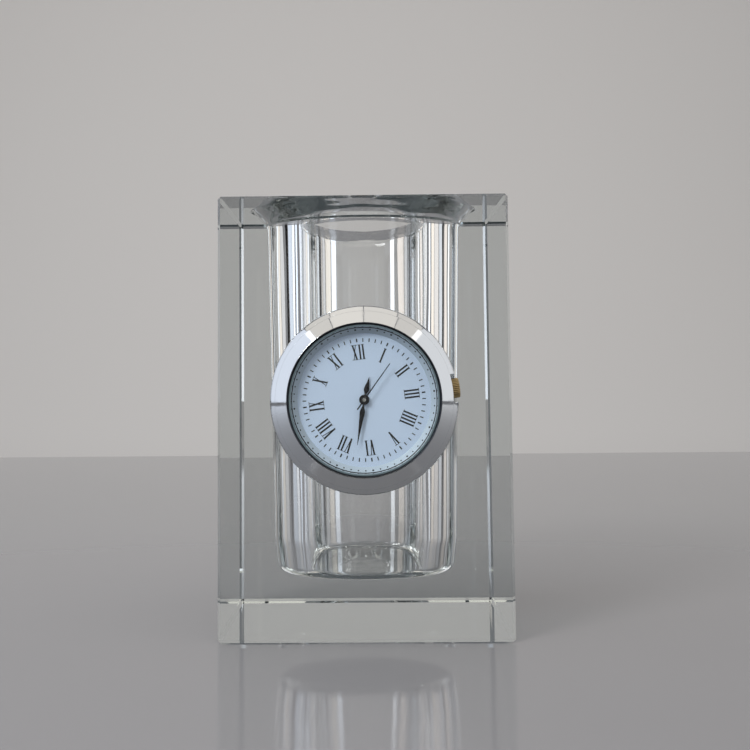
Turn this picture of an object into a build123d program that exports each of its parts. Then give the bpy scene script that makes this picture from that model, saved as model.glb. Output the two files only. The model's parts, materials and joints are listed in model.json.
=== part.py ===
from build123d import *
import math
import os

# Clear block, standing on its base
block_width = 66.0
block_depth = 66.0
block_height = 100.0
block_chamfer = 0.6

# Pen well: a blind round hole from the top that tapers a little, closes in over its foot and has a wide bevel
well_front_wall = 9.2
well_taper = 1.6
well_floor_thickness = 12.0
well_bevel = 3.6
well_rim_round = 4.5
well_foot_height = 8.0
well_foot_taper = 1.0
well_foot_round = 20.0
well_floor_round = 2.5

# The clock's seat in the front face
clock_height = 53.6
clock_lean = 6.8
pocket_depth = 4.0
pocket_chamfer = 0.3

# Gaps between pieces
held_fit = 0.02
running_fit = 0.04
sliding_fit = 0.06
seat_gap = 0.2
cut_overrun = 1.0

# Case: a can that goes in the pocket and a wide ring outside it
case_ledge_width = 1.31
can_wall = 0.8
can_depth = 3.4
sleeve_thickness = 0.6
sleeve_web = 0.25
sleeve_rib_count = 5
sleeve_end_margin = 0.3
case_ring_step = 1.3
case_ring_height = 4.8
case_ring_round = 0.4
case_ring_front_round = 0.9
case_back_thickness = 0.6
case_back_rim_height = 0.8
case_back_rim_width = 0.85
case_back_notch_width = 2.4
case_back_notch_depth = 0.5
back_gasket_thickness = 0.3

# Bezel, lens and the parts held under them
bezel_seat_width = 2.11
bezel_wall_height = 0.9
bezel_rise = 1.6
bezel_lip_width = 0.41
bezel_lip_drop = 0.5
bezel_edge_round = 0.12
bezel_skirt_depth = 1.2
bezel_skirt_width = 0.95
lens_radius = 16.0
lens_thickness = 0.8
lens_recess = 0.4
lens_chamfer = 0.12
lens_gasket_width = 0.4
chapter_width = 1.5
chapter_lip = 0.1
chapter_rim_width = 0.3

# Dial and its printing
dial_edge_gap = 0.3
dial_thickness = 0.4
dial_hole_gap = 0.25
dial_foot_radius = 0.4
dial_foot_angles = (62.0, 242.0)
ink_thickness = 0.03
minute_count = 60
hour_count = 12
tick_margin = 1.12
tick_length = 0.8
tick_width = 0.21
hour_tick_width = 0.29
chapter_dot_radius = 0.17
hour_dot_radius = 0.23
numeral_tick_gap = 0.55
numeral_height = 3.3
numeral_stem = 0.36
numeral_hair = 0.16
numeral_serif_width = 0.66
numeral_serif_thickness = 0.1
letter_i_advance = 0.74
letter_v_width = 1.34
letter_x_width = 1.34
letter_side_gap = 0.2

# Hands, read on the dial clockwise from twelve
hour_hand_angle = 19.8
minute_hand_angle = 196.0
second_hand_angle = 42.6
hour_hand_length = 5.1
hour_hand_width = 1.25
hour_hand_belly = 2.4
hour_hub_radius = 1.12
minute_hand_length = 9.9
minute_hand_width = 1.15
minute_hand_belly = 2.75
minute_hub_radius = 0.95
hand_neck_width = 0.3
hand_tip_width = 0.16
second_hand_length = 9.7
second_hand_width = 0.2
second_tail_length = 2.6
second_tail_width = 0.28
second_hub_radius = 0.6
hand_thickness = 0.15
hour_hand_rise = 0.3
hand_spacing = 0.25
second_hub_height = 0.35
hand_lens_gap = 0.15

# Wheels under the dial
motion_module = 0.15
cannon_teeth = 10
minute_wheel_teeth = 30
minute_pinion_teeth = 8
hour_wheel_teeth = 32
motion_wheel_thickness = 0.25
motion_pinion_height = 0.4
motion_gap = 0.1
minute_wheel_angle = -25.0
minute_stud_radius = 0.25

# Going train behind the main plate
rotor_teeth = 6
intermediate_wheel_teeth = 60
rotor_module = 0.09
intermediate_pinion_teeth = 10
second_wheel_teeth = 30
second_module = 0.21
second_pinion_teeth = 8
third_wheel_teeth = 60
third_module = 0.12
third_pinion_teeth = 8
centre_wheel_teeth = 64
train_wheel_thickness = 0.2
train_pinion_height = 0.4
train_level_step = 0.45
train_top_gap = 0.25
train_end_gap = 0.3
wheel_window_count = 5
second_arbor_radius = 0.12
centre_arbor_wall = 0.18
cannon_wall = 0.14
hour_pipe_wall = 0.18
arbor_radius = 0.22
pivot_radius = 0.12
pivot_length = 0.35
intermediate_angle = -75.0
rotor_angle = -10.0
third_angle = 120.0

# Movement frame
plate_edge_width = 1.77
plate_thickness = 1.2
bridge_thickness = 0.4
bridge_bar_width = 2.2
pillar_radius = 0.7
pillar_gap = 0.55
third_pillar_angle = 117.7
motor_pillar_place = (-2.9, -6.0)
stem_pillar_place = (5.9, -1.2)
screw_radius = 0.26
screw_head_radius = 0.6
screw_head_height = 0.3
screw_depth = 1.4
screw_slot_width = 0.14
screw_slot_depth = 0.12

# Motor: magnet on the rotor, stator and coil
magnet_radius = 0.65
magnet_height = 0.5
stator_gap = 0.2
stator_thickness = 0.5
stator_pole_radius = 1.6
stator_arm_width = 1.3
stator_shoulder_gap = 0.5
stator_shoulder_run = 2.1
stator_lift = 0.15
coil_shift = 2.0
coil_edge_gap = 1.65
coil_length = 5.0
coil_radius = 0.85
coil_flange_width = 0.35
coil_core_radius = 0.35
coil_core_reach = 0.9
boss_radius = 0.55

# Battery, its strap and the circuit
battery_radius = 3.4
battery_height = 2.6
battery_rim = 0.35
plate_margin = 0.7
battery_angle = 205.0
battery_gap = 0.1
strap_width = 1.8
strap_thickness = 0.2
strap_direction = 115.0
board_width = 4.6
board_start_angle = 8.0
board_end_angle = 76.0
board_thickness = 0.3
board_drop = 0.5
board_boss_inset = 0.8
board_boss_angles = (14.0, 70.0)
quartz_radius = 0.75
quartz_length = 5.0
quartz_inset = 1.8
quartz_angle = 34.0
chip_radius = 1.1
chip_height = 0.5
chip_inset = 2.6
chip_angle = 60.0

# Ring of plastic that holds the movement in the case
holder_fit = 0.1
holder_skin = 0.8
holder_ledge_width = 0.35
holder_ledge_height = 0.6
holder_web_rise = 0.3
holder_rib_count = 8
holder_rib_width = 0.8
holder_boss_radius = 0.9

# Crown and setting stem
crown_radius = 2.2
crown_length = 1.9
crown_clearance = 0.25
crown_flute_count = 32
crown_flute_depth = 0.12
crown_notch_width = 6.4
crown_notch_depth = 1.8
crown_travel = 1.0
crown_chamfer = 0.2
stem_radius = 0.35
stem_inner_radius = 5.8
crown_tube_wall = 0.3
crown_gasket_width = 0.35
crown_gasket_length = 0.7

# Heights along the clock's own axis, from the front face of the block towards the viewer
case_seat = seat_gap
case_ring_top = case_seat + case_ring_height
bezel_edge = case_ring_top + bezel_wall_height
bezel_top = bezel_edge + bezel_rise
lens_top = bezel_top - lens_recess
lens_bottom = lens_top - lens_thickness
second_hand_top = lens_bottom - hand_lens_gap
second_hub_bottom = second_hand_top - second_hub_height
second_hand_bottom = second_hub_bottom + hand_thickness
minute_hand_bottom = second_hub_bottom - running_fit - hand_spacing / 2 - hand_thickness
hour_hand_bottom = minute_hand_bottom - hand_spacing - hand_thickness
dial_top = hour_hand_bottom - hour_hand_rise
dial_bottom = dial_top - dial_thickness
motion_space = 2 * motion_pinion_height + motion_wheel_thickness + 2 * motion_gap
plate_top = dial_bottom - motion_space
plate_bottom = plate_top - plate_thickness
stem_level = plate_top - plate_thickness / 2
train_levels = [plate_bottom - train_top_gap - train_level_step * level for level in range(4)]
bridge_top = train_levels[3] - train_pinion_height / 2 - train_end_gap
bridge_bottom = bridge_top - bridge_thickness
skirt_floor = case_ring_top - bezel_skirt_depth
can_end = -can_depth
back_inner_face = can_end + case_back_thickness
holder_bottom = back_inner_face + case_back_rim_height + back_gasket_thickness
web_bottom = plate_bottom - holder_ledge_height
web_top = plate_bottom + holder_web_rise

# Radii that follow from the sizes above
lens_seat_radius = lens_radius + held_fit + lens_gasket_width + held_fit
skirt_radius = lens_seat_radius + bezel_skirt_width
case_counterbore = skirt_radius + held_fit
case_bore = case_counterbore - case_ledge_width
can_radius = case_bore + can_wall
pocket_radius = can_radius + sleeve_thickness + sliding_fit
bezel_top_radius = lens_seat_radius + bezel_lip_width
bezel_radius = skirt_radius + bezel_seat_width
case_ring_radius = bezel_radius + case_ring_step
well_mouth_radius = block_depth / 2 - well_front_wall
well_foot_radius = well_mouth_radius - well_taper
well_floor_radius = well_foot_radius - well_foot_taper
dial_radius = lens_seat_radius - dial_edge_gap - held_fit
chapter_outer_radius = lens_seat_radius - held_fit
chapter_slope_outer = chapter_outer_radius - chapter_rim_width
chapter_inner_radius = chapter_slope_outer - chapter_width
chapter_slope_rise = lens_bottom - dial_top - chapter_lip
tick_outer_radius = chapter_inner_radius - tick_margin
numeral_radius = tick_outer_radius - tick_length - numeral_tick_gap - numeral_height / 2
centre_arbor_bore = second_arbor_radius + running_fit
centre_arbor_radius = centre_arbor_bore + centre_arbor_wall
cannon_bore = centre_arbor_radius + held_fit
cannon_radius = cannon_bore + cannon_wall
hour_pipe_bore = cannon_radius + running_fit
hour_pipe_radius = hour_pipe_bore + hour_pipe_wall
notch_floor_radius = case_ring_radius - crown_notch_depth
crown_base_radius = notch_floor_radius + crown_clearance
crown_tube_bore = stem_radius + running_fit + crown_gasket_width + running_fit
crown_tube_radius = crown_tube_bore + crown_tube_wall

# Centre distances of the wheels
third_pinion_module = third_module * (second_pinion_teeth + third_wheel_teeth) / (
    third_pinion_teeth + centre_wheel_teeth)
third_distance = third_module * (second_pinion_teeth + third_wheel_teeth) / 2
intermediate_distance = second_module * (intermediate_pinion_teeth + second_wheel_teeth) / 2
rotor_distance = rotor_module * (rotor_teeth + intermediate_wheel_teeth) / 2
minute_distance = motion_module * (cannon_teeth + minute_wheel_teeth) / 2
hour_module = 2 * minute_distance / (minute_pinion_teeth + hour_wheel_teeth)

# The movement's outline follows from its widest wheel, and its holder fills the rest of the case
train_reach = third_distance + third_module * (third_wheel_teeth / 2 + 1)
third_pillar_radius = train_reach + pillar_gap + pillar_radius
plate_radius = third_pillar_radius + pillar_radius + plate_edge_width
movement_reach = plate_radius - plate_margin
battery_ring_radius = movement_reach - battery_radius
holder_radius = case_bore - holder_fit
holder_bore = plate_radius + held_fit
dial_foot_ring_radius = (holder_radius + holder_bore) / 2

clock_frame = Plane(
    origin=(0, -block_depth / 2, clock_height),
    x_dir=(math.cos(math.radians(clock_lean)), 0, math.sin(math.radians(clock_lean))),
    z_dir=(0, -1, 0),
)


def polar(radius, angle, start=(0, 0)):
    """Point at a distance and an angle from a start point."""
    turn = math.radians(angle)
    return (start[0] + radius * math.cos(turn), start[1] + radius * math.sin(turn))


def dial_angle(clockwise):
    """Angle from the dial's three o'clock for a reading clockwise from twelve."""
    return 90 - clockwise


def disc(radius, low, high, centre=(0, 0)):
    """Round solid along the clock's axis."""
    shape = Cylinder(radius, high - low, align=(Align.CENTER, Align.CENTER, Align.MIN))
    return Pos(centre[0], centre[1], low) * shape


def tube(inner, outer, low, high, centre=(0, 0)):
    """Plain ring along the clock's axis."""
    hole = disc(inner, low - cut_overrun, high + cut_overrun, centre)
    return disc(outer, low, high, centre) - hole


def radial_disc(radius, start, end, level, angle=0):
    """Round solid that lies along a radius of the clock."""
    shape = Cylinder(radius, end - start, align=(Align.CENTER, Align.CENTER, Align.MIN))
    return Rot(0, 0, angle) * Pos(start, 0, level) * Rot(0, 90, 0) * shape


def turned(points, rounds=()):
    """Solid of revolution from a closed outline of radius and height."""
    corners = [Vector(radius, 0, height) for radius, height in points]
    face = Face(Wire.make_polygon(corners, close=True))
    for index, radius in rounds:
        corner = min(face.vertices(), key=lambda vertex: (Vector(*vertex) - corners[index]).length)
        face = face.fillet_2d(radius, [corner])
    return revolve(face, Axis.Z)


def flat(points, low, high):
    """Plate with a straight-sided outline."""
    face = Face(Wire.make_polygon([Vector(x, y, low) for x, y in points], close=True))
    return extrude(face, high - low, dir=(0, 0, 1))


def bar(start, end, width, low, high):
    """Flat bar with round ends between two points."""
    run = math.hypot(end[0] - start[0], end[1] - start[1])
    angle = math.degrees(math.atan2(end[1] - start[1], end[0] - start[0]))
    straight = Box(run, width, high - low, align=(Align.MIN, Align.CENTER, Align.MIN))
    straight = Pos(start[0], start[1], low) * Rot(0, 0, angle) * straight
    ends = disc(width / 2, low, high, start) + disc(width / 2, low, high, end)
    return straight + ends


def gear(teeth, module, thickness_share, tip_share, low, high, centre=(0, 0), phase=0):
    """Toothed disc with a tooth centred at the phase angle."""
    pitch_radius = teeth * module / 2
    addendum_share = 0.85
    dedendum_share = 1.2
    root_growth_share = 1.1
    tip_radius = pitch_radius + addendum_share * module
    root_radius = pitch_radius - dedendum_share * module
    step = 360 / teeth
    half = thickness_share * step / 2
    points = []
    for tooth in range(teeth):
        middle = phase + tooth * step
        points.append(polar(root_radius, middle - half * root_growth_share, centre))
        points.append(polar(pitch_radius, middle - half, centre))
        points.append(polar(tip_radius, middle - half * tip_share, centre))
        points.append(polar(tip_radius, middle + half * tip_share, centre))
        points.append(polar(pitch_radius, middle + half, centre))
        points.append(polar(root_radius, middle + half * root_growth_share, centre))
    return flat(points, low, high)


wheel_tooth_share = 0.42
wheel_tip_share = 0.35
leaf_share = 0.34
leaf_tip_share = 0.5


def wheel_gear(teeth, module, middle, thickness, centre=(0, 0), phase=0):
    """Thin driven wheel at one level."""
    low = middle - thickness / 2
    return gear(teeth, module, wheel_tooth_share, wheel_tip_share, low, low + thickness, centre, phase)


def pinion_gear(teeth, module, middle, height, centre=(0, 0), phase=0):
    """Small leafed pinion at one level."""
    low = middle - height / 2
    return gear(teeth, module, leaf_share, leaf_tip_share, low, low + height, centre, phase)


def windows(teeth, module, middle, thickness, centre=(0, 0)):
    """Round windows through a wheel, to lighten it."""
    pitch_radius = teeth * module / 2
    ring_share = 0.58
    size_share = 0.2
    low = middle - thickness / 2 - cut_overrun
    high = middle + thickness / 2 + cut_overrun
    holes = []
    for index in range(wheel_window_count):
        place = polar(pitch_radius * ring_share, index * 360 / wheel_window_count, centre)
        holes.append(disc(pitch_radius * size_share, low, high, place))
    return holes


def gap_phase(angle, teeth):
    """Phase that puts a gap between teeth at an angle."""
    return angle + 180 / teeth


third_place = polar(third_distance, third_angle)
intermediate_place = polar(intermediate_distance, intermediate_angle)
rotor_place = polar(rotor_distance, rotor_angle, intermediate_place)
minute_wheel_place = polar(minute_distance, minute_wheel_angle)
battery_place = polar(battery_ring_radius, battery_angle)
pillar_places = (polar(third_pillar_radius, third_pillar_angle), motor_pillar_place, stem_pillar_place)
coil_place = (coil_shift, coil_radius + coil_edge_gap - plate_radius)


def make_crystal_block():
    block = Box(block_width, block_depth, block_height, align=(Align.CENTER, Align.CENTER, Align.MIN))
    block = chamfer(block.edges(), block_chamfer)
    bevel_low = block_height - well_bevel
    top_radius = well_mouth_radius + well_bevel + cut_overrun
    well = turned(
        [
            (0, well_floor_thickness),
            (well_floor_radius, well_floor_thickness),
            (well_foot_radius, well_floor_thickness + well_foot_height),
            (well_mouth_radius, bevel_low),
            (top_radius, block_height + cut_overrun),
            (0, block_height + cut_overrun),
        ],
        [(1, well_floor_round), (2, well_foot_round), (3, well_rim_round)],
    )
    pocket = turned(
        [
            (0, -pocket_depth),
            (pocket_radius, -pocket_depth),
            (pocket_radius, -pocket_chamfer),
            (pocket_radius + pocket_chamfer + cut_overrun, cut_overrun),
            (0, cut_overrun),
        ]
    )
    return block - well - clock_frame.location * pocket


def make_mounting_gasket():
    """Soft sleeve with ribs that grips the pocket."""
    inner = can_radius + held_fit
    web = inner + sleeve_web
    crest = can_radius + sleeve_thickness
    low = can_end + sleeve_end_margin
    high = -sleeve_end_margin
    rib_pitch = (high - low) / sleeve_rib_count
    points = [(inner, high), (inner, low)]
    for rib in range(sleeve_rib_count):
        start = low + rib * rib_pitch
        points.append((web, start))
        points.append((crest, start + rib_pitch / 2))
    points.append((web, high))
    return turned(points)


def make_case_body():
    case = turned(
        [
            (case_bore, can_end),
            (can_radius, can_end),
            (can_radius, case_seat),
            (case_ring_radius, case_seat),
            (case_ring_radius, case_ring_top),
            (case_counterbore, case_ring_top),
            (case_counterbore, skirt_floor),
            (case_bore, skirt_floor),
        ],
        [(3, case_ring_round), (4, case_ring_front_round)],
    )
    notch_length = crown_notch_depth + cut_overrun
    notch = Box(notch_length, crown_notch_width, case_ring_height + 2 * cut_overrun,
                align=(Align.MIN, Align.CENTER, Align.MIN))
    notch = Pos(notch_floor_radius, 0, case_seat - cut_overrun) * notch
    tube_hole = radial_disc(crown_tube_radius + held_fit, case_bore - cut_overrun,
                            case_ring_radius + cut_overrun, stem_level)
    return case - notch - tube_hole


def make_case_back():
    outer = case_bore - held_fit
    inner = outer - case_back_rim_width
    back = turned(
        [
            (0, can_end),
            (outer, can_end),
            (outer, back_inner_face + case_back_rim_height),
            (inner, back_inner_face + case_back_rim_height),
            (inner, back_inner_face),
            (0, back_inner_face),
        ]
    )
    notch = Box(case_back_notch_depth + cut_overrun, case_back_notch_width,
                case_back_thickness / 2 + cut_overrun, align=(Align.MIN, Align.CENTER, Align.MIN))
    notch = Pos(outer - case_back_notch_depth, 0, can_end - cut_overrun) * notch
    return back - Rot(0, 0, -90) * notch


def make_back_gasket():
    outer = case_bore - held_fit
    return tube(outer - case_back_rim_width, outer, holder_bottom - back_gasket_thickness, holder_bottom)


def make_bezel():
    """Polished cone with a side wall, an inner lip and a skirt that snaps into the case."""
    skirt_low = skirt_floor + held_fit
    return turned(
        [
            (lens_seat_radius, skirt_low),
            (skirt_radius, skirt_low),
            (skirt_radius, case_ring_top),
            (bezel_radius, case_ring_top),
            (bezel_radius, bezel_edge),
            (bezel_top_radius, bezel_top),
            (lens_seat_radius, bezel_top - bezel_lip_drop),
        ],
        [(4, bezel_edge_round), (5, bezel_edge_round)],
    )


def make_lens():
    edge = lens_radius - lens_chamfer
    return turned(
        [
            (0, lens_bottom),
            (lens_radius, lens_bottom),
            (lens_radius, lens_top - lens_chamfer),
            (edge, lens_top),
            (0, lens_top),
        ]
    )


def make_lens_gasket():
    inner = lens_radius + held_fit
    return tube(inner, inner + lens_gasket_width, lens_bottom, bezel_top - bezel_lip_drop)


def make_chapter_ring():
    """Sloped ring between the lens and the dial."""
    return turned(
        [
            (chapter_inner_radius, dial_top),
            (chapter_outer_radius, dial_top),
            (chapter_outer_radius, lens_bottom),
            (chapter_slope_outer, lens_bottom),
            (chapter_inner_radius, dial_top + chapter_lip),
        ]
    )


def make_chapter_dots():
    """Round dots printed on the slope, one a minute."""
    slope = math.atan2(chapter_slope_rise, chapter_width)
    middle_radius = chapter_inner_radius + chapter_width / 2
    middle_height = dial_top + chapter_lip + chapter_slope_rise / 2
    dots = []
    for minute in range(minute_count):
        on_hour = minute % (minute_count // hour_count) == 0
        radius = hour_dot_radius if on_hour else chapter_dot_radius
        turn = math.radians(dial_angle(minute * 360 / minute_count))
        place = (middle_radius * math.cos(turn), middle_radius * math.sin(turn), middle_height)
        normal = (-math.sin(slope) * math.cos(turn), -math.sin(slope) * math.sin(turn), math.cos(slope))
        dot = Cylinder(radius, ink_thickness, align=(Align.CENTER, Align.CENTER, Align.MIN))
        dots.append(Plane(origin=place, z_dir=normal).location * dot)
    return dots


def make_dial():
    dial = tube(hour_pipe_radius + dial_hole_gap, dial_radius, dial_bottom, dial_top)
    for angle in dial_foot_angles:
        place = polar(dial_foot_ring_radius, angle)
        dial += disc(dial_foot_radius, web_top, dial_bottom, place)
    return dial


def stroke(foot_x, head_x, width):
    """Slanting or upright stroke over the full height of a numeral."""
    half_height = numeral_height / 2
    half_width = width / 2
    corners = [
        (foot_x - half_width, -half_height),
        (foot_x + half_width, -half_height),
        (head_x + half_width, half_height),
        (head_x - half_width, half_height),
    ]
    return Polygon(*corners, align=None)


def serif(x, side):
    """Thin cross stroke at the head or the foot of a numeral."""
    height = side * (numeral_height - numeral_serif_thickness) / 2
    return Pos(x, height) * Rectangle(numeral_serif_width, numeral_serif_thickness)


def letter_i(x):
    return [stroke(x, x, numeral_stem), serif(x, 1), serif(x, -1)]


def letter_v(x):
    reach = (letter_v_width - numeral_serif_width) / 2
    return [
        stroke(x, x - reach, numeral_stem),
        stroke(x, x + reach, numeral_hair),
        serif(x - reach, 1),
        serif(x + reach, 1),
    ]


def letter_x(x):
    reach = (letter_x_width - numeral_serif_width) / 2
    strokes = [stroke(x + reach, x - reach, numeral_stem), stroke(x - reach, x + reach, numeral_hair)]
    for side in (-1, 1):
        strokes.append(serif(x - reach, side))
        strokes.append(serif(x + reach, side))
    return strokes


letters = {
    "I": (letter_i, letter_i_advance),
    "V": (letter_v, letter_v_width + letter_side_gap),
    "X": (letter_x, letter_x_width + letter_side_gap),
}
numerals = ("I", "II", "III", "IIII", "V", "VI", "VII", "VIII", "IX", "X", "XI", "XII")


def make_dial_numerals():
    """Roman hours, all with their feet towards the centre."""
    pieces = []
    for index, word in enumerate(numerals):
        x = -sum(letters[letter][1] for letter in word) / 2
        face = Sketch()
        for letter in word:
            draw, advance = letters[letter]
            face += draw(x + advance / 2)
            x += advance
        turn = -(index + 1) * 360 / hour_count
        placed = Pos(0, 0, dial_top) * Rot(0, 0, turn) * Pos(0, numeral_radius, 0) * face
        pieces.extend(extrude(placed, ink_thickness, dir=(0, 0, 1)).solids())
    return pieces


def make_minute_track():
    ticks = []
    for minute in range(minute_count):
        on_hour = minute % (minute_count // hour_count) == 0
        width = hour_tick_width if on_hour else tick_width
        tick = Box(tick_length, width, ink_thickness, align=(Align.MAX, Align.CENTER, Align.MIN))
        turn = dial_angle(minute * 360 / minute_count)
        ticks.append(Rot(0, 0, turn) * Pos(tick_outer_radius, 0, dial_top) * tick)
    return ticks


def make_leaf_hand(angle, length, width, belly, hub_radius, bore, low):
    """Hand with a round hub, a narrow neck and a leaf that tapers to its tip."""
    high = low + hand_thickness
    neck = hub_radius + (belly - hub_radius) / 3
    outline = [
        (0, -hand_neck_width / 2),
        (neck, -hand_neck_width / 2),
        (belly, -width / 2),
        (length, -hand_tip_width / 2),
        (length, hand_tip_width / 2),
        (belly, width / 2),
        (neck, hand_neck_width / 2),
        (0, hand_neck_width / 2),
    ]
    hand = flat(outline, low, high) + disc(hub_radius, low, high)
    hand -= disc(bore, low - cut_overrun, high + cut_overrun)
    return Rot(0, 0, dial_angle(angle)) * hand


def make_hour_hand():
    return make_leaf_hand(hour_hand_angle, hour_hand_length, hour_hand_width, hour_hand_belly,
                          hour_hub_radius, hour_pipe_radius + held_fit, hour_hand_bottom)


def make_minute_hand():
    return make_leaf_hand(minute_hand_angle, minute_hand_length, minute_hand_width, minute_hand_belly,
                          minute_hub_radius, cannon_radius + held_fit, minute_hand_bottom)


def make_second_hand():
    """Thin hand with a short tail on a small pipe."""
    high = second_hand_bottom + hand_thickness
    outline = [
        (-second_tail_length, -second_tail_width / 2),
        (0, -second_tail_width / 2),
        (second_hand_length, -second_hand_width / 2),
        (second_hand_length, second_hand_width / 2),
        (0, second_tail_width / 2),
        (-second_tail_length, second_tail_width / 2),
    ]
    hand = flat(outline, second_hand_bottom, high) + disc(second_hub_radius, second_hub_bottom, second_hand_top)
    hand -= disc(second_arbor_radius + held_fit, second_hub_bottom - cut_overrun, second_hand_bottom)
    return Rot(0, 0, dial_angle(second_hand_angle)) * hand


def make_second_wheel():
    """Long arbor through the centre with the seconds pinion and wheel."""
    wheel = wheel_gear(second_wheel_teeth, second_module, train_levels[2], train_wheel_thickness,
                       phase=gap_phase(intermediate_angle, second_wheel_teeth))
    for hole in windows(second_wheel_teeth, second_module, train_levels[2], train_wheel_thickness):
        wheel -= hole
    pinion = pinion_gear(second_pinion_teeth, third_module, train_levels[1], train_pinion_height,
                         phase=third_angle)
    body = disc(arbor_radius, bridge_top + running_fit, train_levels[1])
    arbor = disc(second_arbor_radius, bridge_top - pivot_length, second_hand_bottom - running_fit)
    return wheel + pinion + body + arbor


def make_third_wheel():
    wheel = wheel_gear(third_wheel_teeth, third_module, train_levels[1], train_wheel_thickness,
                       third_place, gap_phase(third_angle + 180, third_wheel_teeth))
    for hole in windows(third_wheel_teeth, third_module, train_levels[1], train_wheel_thickness, third_place):
        wheel -= hole
    pinion = pinion_gear(third_pinion_teeth, third_pinion_module, train_levels[0], train_pinion_height,
                         third_place, third_angle + 180)
    body = disc(arbor_radius, bridge_top + running_fit, plate_bottom - running_fit, third_place)
    arbor = disc(pivot_radius, bridge_top - pivot_length, plate_bottom + pivot_length, third_place)
    return wheel + pinion + body + arbor


def make_intermediate_wheel():
    wheel = wheel_gear(intermediate_wheel_teeth, rotor_module, train_levels[3], train_wheel_thickness,
                       intermediate_place, gap_phase(rotor_angle, intermediate_wheel_teeth))
    for hole in windows(intermediate_wheel_teeth, rotor_module, train_levels[3], train_wheel_thickness,
                        intermediate_place):
        wheel -= hole
    pinion = pinion_gear(intermediate_pinion_teeth, second_module, train_levels[2], train_pinion_height,
                         intermediate_place, intermediate_angle + 180)
    body = disc(arbor_radius, bridge_top + running_fit, plate_bottom - running_fit, intermediate_place)
    arbor = disc(pivot_radius, bridge_top - pivot_length, plate_bottom + pivot_length, intermediate_place)
    return wheel + pinion + body + arbor


stator_low = train_levels[3] + train_pinion_height / 2 + stator_lift
stator_high = stator_low + stator_thickness
stator_middle = (stator_low + stator_high) / 2


def make_rotor():
    """Magnet disc and pinion on one arbor, seated in the stator's hole."""
    pinion = pinion_gear(rotor_teeth, rotor_module, train_levels[3], train_pinion_height, rotor_place,
                         rotor_angle + 180)
    magnet = disc(magnet_radius, stator_middle - magnet_height / 2, stator_middle + magnet_height / 2,
                  rotor_place)
    arbor = disc(pivot_radius, bridge_top - pivot_length, plate_bottom + pivot_length, rotor_place)
    return pinion + magnet + arbor


def make_centre_wheel():
    """Wheel with a hollow arbor that carries the cannon pinion."""
    wheel = wheel_gear(centre_wheel_teeth, third_pinion_module, train_levels[0], train_wheel_thickness,
                       phase=gap_phase(third_angle, centre_wheel_teeth))
    for hole in windows(centre_wheel_teeth, third_pinion_module, train_levels[0], train_wheel_thickness):
        wheel -= hole
    low = train_levels[0] - train_wheel_thickness / 2
    arbor = disc(centre_arbor_radius, low, minute_hand_bottom)
    return wheel + arbor - disc(centre_arbor_bore, low - cut_overrun, minute_hand_bottom + cut_overrun)


cannon_level = plate_top + motion_gap / 2 + motion_pinion_height / 2
minute_wheel_level = cannon_level
minute_pinion_level = minute_wheel_level + motion_wheel_thickness / 2 + motion_pinion_height / 2
hour_wheel_level = cannon_level + motion_pinion_height / 2 + motion_gap + motion_wheel_thickness / 2


def make_cannon_pinion():
    pinion = pinion_gear(cannon_teeth, motion_module, cannon_level, motion_pinion_height,
                         phase=minute_wheel_angle)
    low = cannon_level - motion_pinion_height / 2
    high = minute_hand_bottom + hand_thickness
    pipe = disc(cannon_radius, low, high)
    return pinion + pipe - disc(cannon_bore, low - cut_overrun, high + cut_overrun)


def make_minute_wheel():
    place = minute_wheel_place
    facing = minute_wheel_angle + 180
    wheel = wheel_gear(minute_wheel_teeth, motion_module, minute_wheel_level, motion_wheel_thickness,
                       place, gap_phase(facing, minute_wheel_teeth))
    pinion = pinion_gear(minute_pinion_teeth, hour_module, minute_pinion_level, motion_pinion_height,
                         place, facing)
    low = minute_wheel_level - motion_wheel_thickness / 2 - cut_overrun
    return wheel + pinion - disc(minute_stud_radius + running_fit, low, dial_bottom, place)


def make_hour_wheel():
    wheel = wheel_gear(hour_wheel_teeth, hour_module, hour_wheel_level, motion_wheel_thickness,
                       phase=gap_phase(minute_wheel_angle, hour_wheel_teeth))
    low = hour_wheel_level - motion_wheel_thickness / 2
    high = hour_hand_bottom + hand_thickness
    pipe = disc(hour_pipe_radius, low, high)
    return wheel + pipe - disc(hour_pipe_bore, low - cut_overrun, high + cut_overrun)


stator_left_foot = (coil_place[0] - coil_length / 2 - coil_core_reach, coil_place[1])
stator_right_foot = (coil_place[0] + coil_length / 2 + coil_core_reach, coil_place[1])


def make_main_plate():
    """Brass plate with the train's bearings, the pillars and the seats of the motor and the circuit."""
    plate = disc(plate_radius, plate_bottom, plate_top)
    for place in pillar_places:
        plate += disc(pillar_radius, bridge_top, plate_bottom, place)
    for place in (stator_left_foot, stator_right_foot):
        plate += disc(boss_radius, stator_high, plate_bottom, place)
    for angle in board_boss_angles:
        place = polar(movement_reach - board_boss_inset, angle)
        plate += disc(boss_radius, plate_bottom - board_drop, plate_bottom, place)
    plate += disc(minute_stud_radius, plate_top, dial_bottom - motion_gap, minute_wheel_place)
    plate -= disc(centre_arbor_radius + running_fit, plate_bottom - cut_overrun, plate_top + cut_overrun)
    for place in (third_place, intermediate_place, rotor_place):
        plate -= disc(pivot_radius + running_fit, plate_bottom - cut_overrun,
                      plate_bottom + pivot_length + running_fit, place)
    for place in pillar_places:
        plate -= disc(screw_radius + running_fit, bridge_top - cut_overrun,
                      bridge_bottom + screw_depth + running_fit, place)
    channel = radial_disc(stem_radius + running_fit, stem_inner_radius - running_fit,
                          plate_radius + cut_overrun, stem_level)
    return plate - channel


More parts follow.
